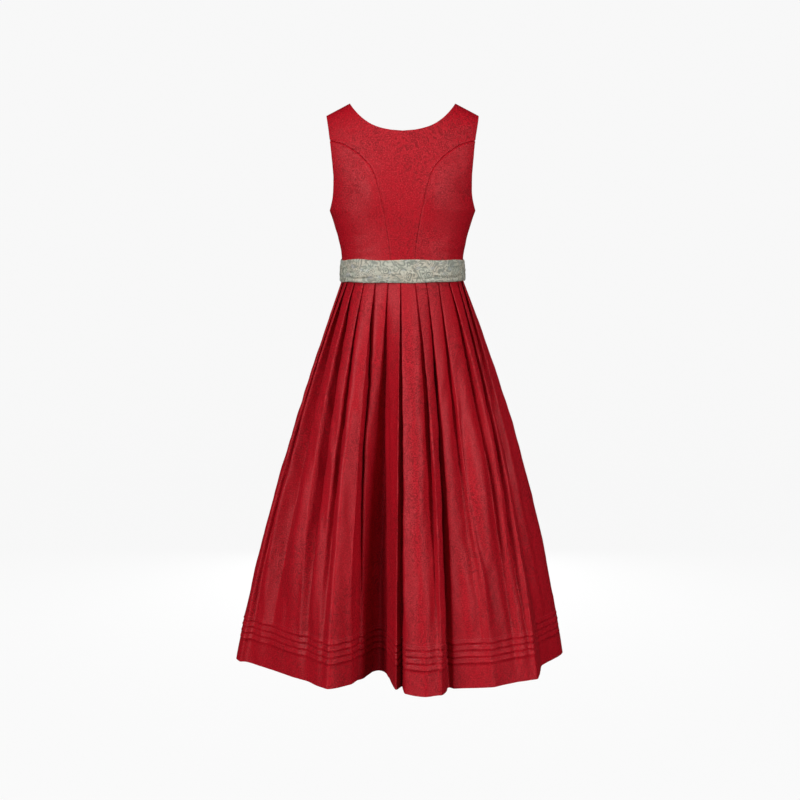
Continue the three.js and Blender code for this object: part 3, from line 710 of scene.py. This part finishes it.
def panel(turns, drops, side, mirror, open_start=ALL_ROWS):
    """Grids of one panel from its places. Mirror is -1 for the other half of the dress."""
    plain = torso_point(turns, drops, side)
    x, z = plain[..., 0], plain[..., 2]
    normal = grid_normals(plain) * (-side)
    normal[..., 0] = np.where(x < 1.0, 0, normal[..., 0])
    normal[..., 1] = np.where((turns > math.pi / 2 - 1e-6) | (drops < 1e-6), 0, normal[..., 1])
    normal /= np.linalg.norm(normal, axis=-1, keepdims=True)
    seam = distance_to(FRONT_SEAM, x, z, SEAM_START_Z + 1, WAIST_Z) if side < 0 else x
    neck = (NECK_FRONT, x, z, 0, NECK_FRONT_Z) if side < 0 else (NECK_BACK, x, z, 0, NECK_BACK_Z)
    rim = np.minimum(distance_to(*neck), distance_to(ARMHOLE, x, z, -TIP_FALL, ARM_Z))
    relief = bodice_relief(mirror * x, z, side, seam, rim) * np.clip(drops / 12, 0, 1)
    held = np.clip((math.pi / 2 - turns) / 0.06, 0, 1)
    outer = plain + normal * (relief * held)[..., None]
    inner = outer - normal * BODICE_WALL
    flip = np.array([mirror, 1, 1])
    to_start = turns[:, :1] * np.linspace(0, 1, 24)
    lead = torso_point(to_start, drops[:, :1] + 0 * to_start, side)
    along = lengths_along(lead)[:, -1:] + lengths_along(plain)
    start_u = 0 if side < 0 else BACK_START_U
    uv = np.stack([mirror * along + start_u, -length_down(drops, side)], -1)
    return outer * flip, inner * flip, uv, open_start


def arm_edge(drops):
    return np.where(drops >= -ARM_Z, TORSO.look("half", drops), edge_at(ARMHOLE, drops))


def steps(start, stop, size):
    """Even steps of about this size, without the last."""
    count = max(1, int(round((stop - start) / size)))
    return [start + (stop - start) * i / count for i in range(count)]


FRONT_COLUMNS = 60
BACK_COLUMNS = 72
CROWN_END = 60         # drops where one spacing of rows ends and the next begins
LOW_START = 104
CROWN_TURNS = np.linspace(0, math.acos(1 - CROWN_END / CROWN), 16)
CROWN_ROWS = [CROWN * (1 - math.cos(turn)) for turn in CROWN_TURNS]
LOW_ROWS = steps(LOW_START, -ARM_Z, 4.5) + steps(-ARM_Z, END_DROP, 4.5) + [END_DROP]
MIDDLE_ROWS = steps(SEAM_DROP + 9, NECK_DROP, 3) + steps(NECK_DROP, LOW_START, 3)


def front_centre():
    turn_in = [SEAM_DROP + step for step in (0, 0.5, 1.2, 2.2, 3.5, 5, 7)]
    upper = CROWN_ROWS + steps(CROWN_END + 3, SEAM_DROP, 3.5)
    drops = np.array(upper + turn_in + MIDDLE_ROWS + LOW_ROWS)
    start = np.where(drops < NECK_DROP - 1e-6, edge_at(NECK_FRONT, drops), 0)
    stop = np.where(drops <= SEAM_DROP + 1e-6, arm_edge(drops), beside_seam(drops, -1))
    grid = places(start, stop, drops, FRONT_COLUMNS)
    neck_row = int(np.argmax(drops >= NECK_DROP - 1e-6))
    halves = [panel(*grid, -1, mirror, neck_row) for mirror in (1, -1)]
    return cloth_piece("centre_front_cloth", halves, RED_CLOTH)


def front_side(mirror, name):
    drops = np.array([SEAM_DROP + 5, SEAM_DROP + 7] + MIDDLE_ROWS + LOW_ROWS)
    turns, levels = places(beside_seam(drops, 1), arm_edge(drops), drops, FRONT_COLUMNS)
    low_x = beside_seam(np.array([SEAM_DROP + 3.5]), 1)
    tip_x = arm_edge(np.array([SEAM_DROP]))
    top_x = low_x + (tip_x - low_x) * across(FRONT_COLUMNS)
    top_drops = halve(lambda drops: beside_seam(drops, 1) > top_x,
                      SEAM_DROP + 0 * top_x, SEAM_DROP + 4 + 0 * top_x, 22) + 0.02
    top_turns = turn_at(top_x, top_drops)
    down = np.array([0, 0.07, 0.16, 0.3, 0.5, 0.75])[:, None]
    turns = np.concatenate([top_turns + (turns[0] - top_turns) * down, turns])
    levels = np.concatenate([top_drops + (levels[0] - top_drops) * down, levels])
    return cloth_piece(name, [panel(turns, levels, -1, mirror)], RED_CLOTH)


def back_panel(mirror, name):
    upper = steps(CROWN_END + 3, NECK_BACK_DROP, 3) + steps(NECK_BACK_DROP, LOW_START, 3)
    drops = np.array(CROWN_ROWS + upper + LOW_ROWS)
    start = np.where(drops < NECK_BACK_DROP - 1e-6, edge_at(NECK_BACK, drops), SEAM_GAP / 2)
    grid = places(np.maximum(start, SEAM_GAP / 2), arm_edge(drops), drops, BACK_COLUMNS)
    return cloth_piece(name, [panel(*grid, 1, mirror)], RED_CLOTH)


centre_front = front_centre()
side_right = front_side(1, "side_front_right_cloth")
side_left = front_side(-1, "side_front_left_cloth")
back_right = back_panel(1, "back_right_cloth")
back_left = back_panel(-1, "back_left_cloth")

# %% [markdown]
# The skirt is one ring of points that is pressed into knife pleats at the waist and opens into
# waves at the hem. At each height the points are joined by a rounded line that keeps inside its
# corners, so a pressed edge stays crisp near the waist and grows soft lower down.


# %% Points of the skirt's folds
def waist_turn(degrees, back):
    """The turn in radians and the depth of the waist oval on its side."""
    return math.radians(degrees), WAIST_BACK if back else WAIST_FRONT


def waist_place(degrees, inset, back):
    """A place on the waist oval, or inset from it."""
    turn, depth = waist_turn(degrees, back)
    nx, ny = math.sin(turn) / WAIST_HALF, math.cos(turn) / depth
    length = math.hypot(nx, ny)
    return (WAIST_HALF * math.sin(turn) - inset * nx / length,
            depth * math.cos(turn) - inset * ny / length)


def waist_degrees(degrees, distance, back):
    """How many degrees a short distance takes up along the waist oval."""
    turn, depth = waist_turn(degrees, back)
    return math.degrees(distance / math.hypot(WAIST_HALF * math.cos(turn), depth * math.sin(turn)))


def toward(x0, y0, x1, y1, width):
    length = math.hypot(x1 - x0, y1 - y0)
    return (x1 - x0) / length * width / 2, (y1 - y0) / length * width / 2


def quarter(folds, back):
    """Waist place, hem place, sway and mid-length pull of every point, from the middle outward."""
    points = []
    for row, following in zip(folds.rows, [*folds.rows[1:], None]):
        turn, swing, vx, vy, vw, ex, ey, ew, cx, cy, mid, lap = row
        vale = toward(*(points[-1][1] if points else (0, vy)), ex, ey, vw)
        brim = toward(vx, vy, cx, cy, ew)
        crest, face_swing = waist_place(SIDE_DEGREES, SIDE_INSET, back), swing
        if following is not None:
            under = following[0] - waist_degrees(following[0], FACE_STEP, back)
            crest, face_swing = waist_place(under, 2 * LAYER, back), (swing + following[1]) / 2
        tilt = LAYER * LAYER_TILT * lap
        low_valley, high_valley = (
            waist_place(turn + lap * PLEAT_TURN, inset + tilt, back) for inset in (2 * LAYER, LAYER)
        )
        low_edge, high_edge = (waist_place(turn, inset, back) for inset in (LAYER, 0))
        points += [
            (low_valley, (vx - vale[0], vy - vale[1]), swing, mid),
            (high_valley, (vx + vale[0], vy + vale[1]), swing, mid),
            (low_edge, (ex - brim[0], ey - brim[1]), swing, 0),
            (high_edge, (ex + brim[0], ey + brim[1]), swing, -EDGE_LIFT),
            (crest, (cx, cy), face_swing, 0),
        ]
    return points


def placed(points, sign_x, sign_y):
    """The same points on another quarter of the ring."""
    return [
        ((w[0] * sign_x, w[1] * sign_y), (h[0] * sign_x, h[1] * sign_y), swing * sign_x, mid)
        for w, h, swing, mid in points
    ]


def seam_point(seam, waist_y):
    waist, hem, swing = seam
    return [((waist[0], waist_y), hem, swing, 0)]


RING = (
    seam_point(SIDE_RIGHT, 0)
    + placed(quarter(FRONT_RIGHT, False), 1, -1)[::-1]
    + seam_point(MIDDLE_FRONT, 3 * LAYER - WAIST_FRONT)
    + placed(quarter(FRONT_LEFT, False), -1, -1)
    + seam_point(SIDE_LEFT, 0)
    + placed(quarter(BACK_LEFT, True), -1, 1)[::-1]
    + seam_point(MIDDLE_BACK, WAIST_BACK - 3 * LAYER)
    + placed(quarter(BACK_RIGHT, True), 1, 1)
)
RING_WAIST, RING_HEM, RING_SWING, RING_MID = (np.array(part, float) for part in zip(*RING))
QUARTER = len(RING) // 4
print("fold points around the skirt:", len(RING))


# %% The skirt's line at each height
def widened(z):
    t = np.clip((SASH_LOW_Z - z) / (SASH_LOW_Z - HEM_Z), 0, 1)
    return t * (1 + FLARE * (1 - t))


def ring_at(z):
    share = widened(z)
    middle = 4 * share * (1 - share)
    flat = RING_WAIST + (RING_HEM - RING_WAIST) * share
    flat[:, 0] += middle * RING_SWING
    pull = middle * RING_MID / np.linalg.norm(flat, axis=1)
    return flat * (1 - pull[:, None])


def rounded_line(points, first, last):
    """Rounded line past the points from first to last."""
    line = []
    count = len(points)
    for i in range(first, last + 1):
        here = points[i % count]
        before = (points[(i - 1) % count] + here) / 2
        after = (here + points[(i + 1) % count]) / 2
        low, high = (0.5 if i == first else 0.0), (0.5 if i == last else 1.0)
        steps = COLUMNS_AT[i % count] // (1 if low == 0 and high == 1 else 2) + 1
        t = np.linspace(low, high, steps, endpoint=i == last)[:, None]
        line.append((1 - t) ** 2 * before + 2 * t * (1 - t) * here + t**2 * after)
    return np.concatenate(line)


def columns_at(z, size):
    """How many columns each fold point gets, so that they lie about this far apart at a height."""
    points = ring_at(z)
    before, after = (np.linalg.norm(points - np.roll(points, by, axis=0), axis=1) for by in (1, -1))
    return np.maximum(4, np.round((before + after) / 2 / size)).astype(int)


COLUMNS_AT = columns_at(-1000, 4.6)
print("columns around the skirt:", int(COLUMNS_AT.sum()))


# %% [markdown]
# The four tucks are narrow folds of the same cloth, sewn across the skirt and pressed down. Each
# one lifts slowly from above and drops back at its lower edge, and the stitching makes it
# pucker, so its edge wanders a little. Fine rows are spent there and wide ones elsewhere.

# %% Rows of the skirt
TUCK_RISE = 1.15
TUCK_PROFILE = [(9.5, 0.0), (5.5, 0.35), (2.6, 0.9), (1.2, 1.0), (0.35, 0.75), (-0.4, 0.0)]


def skirt_rows():
    """Height of each row and how much of a tuck's rise it has."""
    rows = [(z, 0.0) for z in (WAIST_Z - SEAM_GAP / 2, -393, -406)]
    rows += [(z, 0.0) for z in np.linspace(-414, -1188, 72)]
    for z in TUCKS_Z:
        rows += [(z + up, rise) for up, rise in TUCK_PROFILE]
    rows += [(z, 0.0) for z in (-1258, -1266, -1276, -1286, -1295, -1301, -1304.5, HEM_Z)]
    return rows


# Each row is one soft trough, or a ridge where depth is below 0. It runs from one height to
# another past three places across the skirt, and it fades at both ends.
TRACKS = "top bottom x_top x_mid x_bottom width depth"
FRONT_TRACKS = Table(TRACKS, [
    (-640, -1200, -68, -92, -112, 12, -13.5),
    (-660, -1290, -113, -139, -162, 14, -8.5),
    (-780, -1180, -229, -290, -327, 14, -8.5),
    (-780, -1140, -207, -235, -261, 12, -8.5),
    (-700, -1180, 160, 187, 170, 16, -7.5),
    (-900, -1200, -182, -196, -204, 12, -6),
    (-980, -1210, 140, 148, 150, 14, -6),
    (-620, -1190, 130, 160, 222, 9, 9),
    (-880, -1200, 228, 250, 262, 12, 6),
    (-940, -1200, -280, -300, -316, 9, 6),
])
BACK_TRACKS = Table(TRACKS, [
    (-700, -1190, 20, 26, 34, 12, -8.5),
    (-760, -1200, 180, 232, 262, 14, -7.5),
    (-640, -1190, 92, 138, 168, 10, 8),
    (-740, -1190, -22, -26, -32, 13, -7.5),
    (-780, -1200, -190, -238, -270, 14, -8.5),
    (-680, -1190, -98, -142, -172, 10, 8),
])


def tracks_push(tracks, x, z):
    """How far the folds push the cloth outward."""
    total = np.zeros_like(x)
    for top, bottom, x_top, x_mid, x_bottom, width, depth in tracks.rows:
        s = (top - z) / (top - bottom)
        if 0 < s < 1:
            ends = x_top * (1 - s) - x_bottom * s
            centre = ends * (1 - 2 * s) + x_mid * 4 * s * (1 - s)
            fade = 1 - abs(2 * s - 1) ** 2.5
            total = total - depth * fade * bell(x - centre, width * (0.8 + 0.5 * s))
    return total


def skirt_folds(line, z):
    """The same line with its secondary folds pressed in or drawn out from the middle."""
    x, y = line[:, 0], line[:, 1]
    front = np.clip((20 - y) / 40, 0, 1)
    push = front * tracks_push(FRONT_TRACKS, x, z) + (1 - front) * tracks_push(BACK_TRACKS, x, z)
    return line * (1 + push / np.hypot(x, y))[:, None]


def skirt_relief(z, along):
    """Soft unevenness of the fallen cloth, growing with the distance from the waist."""
    free = np.clip((-430 - z) / 260, 0, 1)
    long_waves = 0.9 * ripple(along, z / 6, 46, 21) + 0.5 * ripple(along, z / 3, 23, 22)
    small = 0.22 * ripple(along, z, 26, 23)
    return free * long_waves + small * np.clip((-410 - z) / 60, 0, 1)


# %% Panels of the skirt
SLOPE = 1.02           # length of sloping cloth for each unit of height
TUCKS_MIDDLE = -1229
TUCKS_REACH = 26
HEM_BAND_Z = -1255
PANEL_SHIFT = 37       # keeps two panels from having the same unevenness
PANEL_START_U = 1000   # and from having the same part of the pattern


def skirt_panel(name, first, last):
    """Cloth between two points of the ring, from the waist to the hem."""
    shell = []
    for z, rise in skirt_rows():
        line = skirt_folds(rounded_line(ring_at(z), first, last), z)
        tangent = np.gradient(line, axis=0)
        tangent /= np.maximum(np.linalg.norm(tangent, axis=1, keepdims=True), 1e-9)
        out = np.stack([-tangent[:, 1], tangent[:, 0]], -1)
        along = lengths_along(line)
        along -= along[-1] / 2
        sway = ripple(along, z * 0.2, 90, 31) + 0.25 * ripple(along, z * 0.3, 24, 32)
        near_tucks = bell(z - TUCKS_MIDDLE, TUCKS_REACH)
        level = z + sway * near_tucks + 0.5 * ripple(along, 0 * along, 90, 33) * (z < HEM_BAND_Z)
        relief = skirt_relief(level, along + PANEL_SHIFT * first)
        pucker = 0.35 * ripple(along, z * 0.4, 13, 34) * near_tucks
        edge_fade = np.clip(np.minimum(along - along[0], along[-1] - along) / 8, 0, 1)
        stiff = 0.3 + 0.7 * np.clip((z - TUCKS_Z[-1]) / 60, 0, 1)
        push = (relief * stiff + pucker) * edge_fade
        lift = TUCK_RISE * rise * (0.9 + 0.3 * ripple(along, z, 60, 35))
        far, near = push + SKIRT_WALL / 2 + lift, push - SKIRT_WALL / 2
        u = along + PANEL_START_U * (first + 1)
        shell.append(shell_row(line, out, far, near, level, u, z * SLOPE))
    return cloth_piece(name, [(*map(np.array, zip(*shell)), ALL_ROWS)], RED_CLOTH)


skirt_front = skirt_panel("skirt_front_cloth", 0, 2 * QUARTER)
skirt_back_left = skirt_panel("skirt_back_left_cloth", 2 * QUARTER, 3 * QUARTER)
skirt_back_right = skirt_panel("skirt_back_right_cloth", 3 * QUARTER, 4 * QUARTER)

# %% [markdown]
# The sash is a soft band wound once around the waist, its end laid over its start at the back.
# It is folded wide and a little slack, so long shallow creases wander along it and its edges
# aren't ruled. Each crease is a row with its start and end around the waist in degrees.

# %% The sash
SASH_CREASES = Table(CREASES, [
    (-66, -395, -14, -388, 3.2, 2.3), (4, -398, 34, -391, 2.8, 1.9),
    (24, -391, 72, -389, 3.2, 2.2), (-40, -372, 10, -374, 3.4, 1.2),
    (30, -372, 76, -366, 3.2, 1.3), (-88, -376, -50, -370, 3.2, 1.5),
    (-20, -381, 24, -380, 3.4, -0.9), (-84, -386, -34, -381, 3.4, -0.9),
    (44, -380, 90, -378, 3.6, -0.9), (100, -390, 160, -384, 3.0, 1.4),
    (90, -370, 150, -372, 3.2, 1.1), (-160, -388, -98, -392, 3.0, 1.4),
    (-150, -370, -96, -366, 3.2, 1.1), (120, -380, 170, -376, 3.4, -1.0),
    (-170, -379, -110, -382, 3.4, -1.0),
])
SASH_RADIUS = 140      # mean radius, which turns an angle into a length along the sash
SASH_DEGREE = 2.4      # the same for an angle in degrees
SASH_SLACK = 0.4       # air below the sash and inside its fold


def sash():
    columns, rows = 420, 34
    turns = np.linspace(-math.pi, math.pi + SASH_LAP / WAIST_HALF, columns)
    along = turns * SASH_RADIUS
    sine, cosine = np.sin(turns), np.cos(turns)
    lapped = np.clip((turns - math.pi * 0.9) / (math.pi * 0.085), 0, 1)
    shell = []
    for share in np.linspace(0, 1, rows):
        z = SASH_TOP_Z + (SASH_LOW_Z - SASH_TOP_Z) * share
        drop = -max(z, WAIST_Z)
        half = float(TORSO.look("half", drop))
        depth = np.where(cosine > 0, TORSO.look("front", drop), TORSO.look("back", drop))
        base = np.column_stack([np.sign(sine) * half * np.abs(sine) ** (2 / OVAL),
                                -np.sign(cosine) * depth * np.abs(cosine) ** (2 / OVAL)])
        out = base / np.column_stack([0 * depth + half, depth]) ** 2
        out /= np.linalg.norm(out, axis=1, keepdims=True)
        edge = min(share, 1 - share)
        level = z + 1.3 * ripple(along, 0 * along, 95, 41 if share < 0.5 else 42) * (1 - 2 * edge)
        relief = 0.35 * ripple(along, z * 3, 34, 43)
        for d0, z0, d1, z1, width, depth_in in SASH_CREASES.rows:
            ends = d0 * SASH_DEGREE, z0, d1 * SASH_DEGREE, z1
            relief += crease(np.degrees(turns) * SASH_DEGREE, level, *ends, width, depth_in)
        roll = -1.1 * (1 - np.clip(edge / 0.06, 0, 1)) ** 2
        lift = float(SASH.look("out", z)) + lapped * (SASH_WALL + SASH_SLACK)
        far = lift + SASH_WALL + SASH_SLACK + (relief + roll)
        shell.append(shell_row(base, out, far, lift + np.minimum(0, relief * 0.3), level, along, z))
    return cloth_piece("sash_cloth", [(*map(np.array, zip(*shell)), ALL_ROWS)], SILVER_CLOTH)


waist_sash = sash()

# %% [markdown]
# Each tuck is held by a row of stitches along its upper edge. Stitches repeat along a path, so
# Geometry Nodes lay them: the path becomes a curve, the curve is divided by the stitch length,
# and one small box-shaped stitch is set on each point, turned along the path.


# %% Stitches along a path
STITCH = {"Stitch step": 0.0034, "Stitch length": 0.0024, "Thread width": 0.00055}
STITCH_NODES = {
    "start": "NodeGroupInput", "end": "NodeGroupOutput", "curve": "GeometryNodeMeshToCurve",
    "even": "GeometryNodeResampleCurve", "size": "ShaderNodeCombineXYZ",
    "stitch": "GeometryNodeMeshCube", "run": "GeometryNodeInputTangent",
    "turn": "FunctionNodeAlignRotationToVector",
    "place": "GeometryNodeInstanceOnPoints", "real": "GeometryNodeRealizeInstances",
    "finish": "GeometryNodeSetMaterial",
}
STITCH_LINKS = [
    ("start", "Geometry", "curve", "Mesh"), ("curve", "Curve", "even", "Curve"),
    ("start", "Stitch step", "even", "Length"), ("start", "Stitch length", "size", "X"),
    ("start", "Thread width", "size", "Y"), ("start", "Thread width", "size", "Z"),
    ("size", "Vector", "stitch", "Size"), ("run", "Tangent", "turn", "Vector"),
    ("even", "Curve", "place", "Points"), ("stitch", "Mesh", "place", "Instance"),
    ("turn", "Rotation", "place", "Rotation"), ("place", "Instances", "real", "Geometry"),
    ("real", "Geometry", "finish", "Geometry"), ("finish", "Geometry", "end", "Geometry"),
]


def stitch_tree(material):
    """A node tree that sets a stitch at every step along a path. Its inputs start at STITCH."""
    tree = bpy.data.node_groups.new("stitches_on_path", "GeometryNodeTree")
    for way in ("INPUT", "OUTPUT"):
        tree.interface.new_socket("Geometry", in_out=way, socket_type="NodeSocketGeometry")
    for label, value in STITCH.items():
        socket = tree.interface.new_socket(label, in_out="INPUT", socket_type="NodeSocketFloat")
        socket.default_value = value
    nodes = {name: tree.nodes.new(kind) for name, kind in STITCH_NODES.items()}
    nodes["even"].mode = "LENGTH"
    nodes["turn"].axis = "X"
    nodes["finish"].inputs["Material"].default_value = material
    for source, output, target, socket in STITCH_LINKS:
        tree.links.new(nodes[source].outputs[output], nodes[target].inputs[socket])
    return tree


def lay_stitches(name, paths, material):
    """A plain mesh of stitches along paths, each a row of points in metres."""
    ends = set(np.cumsum([len(path) for path in paths]) - 1)
    points = np.concatenate(paths)
    source = bpy.data.meshes.new(name + "_path")
    edges = [(i, i + 1) for i in range(len(points)) if i not in ends]
    source.from_pydata(points.tolist(), edges, [])
    worker = add_object(name + "_worker", source)
    worker.modifiers.new("stitches", "NODES").node_group = stitch_tree(material)
    ready = worker.evaluated_get(bpy.context.evaluated_depsgraph_get())
    mesh = bpy.data.meshes.new_from_object(ready)
    mesh.name = name
    bpy.data.objects.remove(worker)
    print(f"{name}: {len(mesh.polygons) * 2} triangles on {len(paths)} paths")
    return add_object(name, mesh)


def tuck_paths(piece):
    """Outer points of a skirt piece along the row where each of its tucks begins."""
    rows = len(skirt_rows())
    columns = len(piece.data.vertices) // 2 // rows
    outer = [v.co[:] for v in piece.data.vertices[: rows * columns]]
    points = np.array(outer).reshape(rows, columns, 3)
    heights = points[:, :, 2].mean(axis=1)
    begins = [(z + TUCK_PROFILE[0][0]) * MM for z in TUCKS_Z]
    return [points[int(np.argmin(np.abs(heights - begin)))] for begin in begins]


tucks = tuck_paths(skirt_front) + tuck_paths(skirt_back_left) + tuck_paths(skirt_back_right)
tuck_stitches = lay_stitches("tuck_stitches", tucks, RED_THREAD)

# %% [markdown]
# Each piece now takes the place of its solid and rides on the one body.

SHEETS = [
    (centre_front, "bodice_front_centre", "dress_cloth", (0.36, 0.40), 0.056),
    (side_right, "bodice_front_side_right", "dress_cloth", (0.20, 0.31), 0.041),
    (side_left, "bodice_front_side_left", "dress_cloth", (0.20, 0.31), 0.041),
    (back_right, "bodice_back_right", "dress_cloth", (0.23, 0.40), 0.067),
    (back_left, "bodice_back_left", "dress_cloth", (0.23, 0.40), 0.067),
    (waist_sash, "waist_band", "sash_cloth", (0.845, 0.052), None),
    (skirt_front, "skirt_front", "dress_cloth", (1.44, 0.96), 1.11),
    (skirt_back_left, "skirt_back_left", "dress_cloth", (0.74, 0.96), 0.585),
    (skirt_back_right, "skirt_back_right", "dress_cloth", (0.74, 0.96), 0.585),
]
for piece, node, slot, flat, area in SHEETS:
    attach(piece, "root")
    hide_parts(node)
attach(tuck_stitches, "root")

# %% [markdown]
# The floor and the wall behind are one pale sweep. Large soft lights stand in front on both
# sides and above, a faint one lies below, and one stands behind for the back, as in a studio
# for clothes. The camera looks a little down on the dress.


# %% Stage, lights and camera
FLOOR_Z = -1.9
FLOOR_RADIUS = 6.2
BEND_RADIUS = 1.8
WALL_TOP_Z = 7.0
AROUND = 72


def studio():
    """A plain pale floor that curves up into a round wall. Only the camera sees it."""
    profile = [(0.0, FLOOR_Z)]
    for i in range(13):
        a = math.radians(90 * i / 12)
        profile.append((FLOOR_RADIUS + BEND_RADIUS * math.sin(a),
                        FLOOR_Z + BEND_RADIUS * (1 - math.cos(a))))
    profile.append((FLOOR_RADIUS + BEND_RADIUS, WALL_TOP_Z))
    turns = [2 * math.pi * k / AROUND for k in range(AROUND)]
    points = [(r * math.cos(turn), r * math.sin(turn), z) for r, z in profile for turn in turns]
    quads = [(low + k, low + (k + 1) % AROUND, low + AROUND + (k + 1) % AROUND, low + AROUND + k)
             for low in range(0, len(points) - AROUND, AROUND) for k in range(AROUND)]
    mesh = bpy.data.meshes.new("studio_bowl")
    mesh.from_pydata(points, [], quads)
    mesh.polygons.foreach_set("use_smooth", [True] * len(mesh.polygons))
    bowl = add_object("studio_bowl", mesh)
    bowl.visible_diffuse = bowl.visible_glossy = bowl.visible_shadow = False
    material, tree, shader = new_material("pale_paper")
    feed_all(tree, shader, Base_Color=(0.03, 0.03, 0.03, 1), Roughness=0.9, Specular_IOR_Level=0.0,
             Emission_Color=(1, 1, 1, 1), Emission_Strength=0.93)
    mesh.materials.append(material)


def add_aimed(name, data, place, aim):
    """Add a light or a camera at a place, looking at another."""
    thing = add_object(name, data)
    thing.location = place
    thing.rotation_euler = (Vector(aim) - Vector(place)).to_track_quat("-Z", "Y").to_euler()
    return thing


studio()
for name, place, size, power, aim_z in [
    ("left", (-2.7, -2.75, 0.35), (1.1, 2.0), 152, -0.6),
    ("right", (2.7, -2.75, 0.35), (1.1, 2.0), 119, -0.6),
    ("above", (0, -2.6, 3.0), (1.6, 1.0), 62, -0.5),
    ("below", (0, -1.6, -1.85), (2.4, 0.8), 2.5, -1.2),
    ("behind", (0, 3.9, -0.9), (0.6, 1.2), 150, -0.75),
]:
    light = bpy.data.lights.new(name, "AREA")
    light.shape = "RECTANGLE"
    light.size, light.size_y = size
    light.energy = power
    add_aimed(name, light, place, (0, 0, aim_z))
world = bpy.context.scene.world or bpy.data.worlds.new("studio")
bpy.context.scene.world = world
world.use_nodes = True
background = next(n for n in world.node_tree.nodes if n.type == "BACKGROUND")
feed_all(world.node_tree, background, Color=(1, 1, 1, 1), Strength=0.02)
bpy.context.scene.view_settings.view_transform = "Standard"

lens = bpy.data.cameras.new("camera")
lens.lens = 67.0
lens.sensor_width = 36.0
camera = add_aimed("camera", lens, (-0.0059, -3.4754, -0.2712), (-0.0059, 0.0, -0.6856))
bpy.context.scene.camera = camera
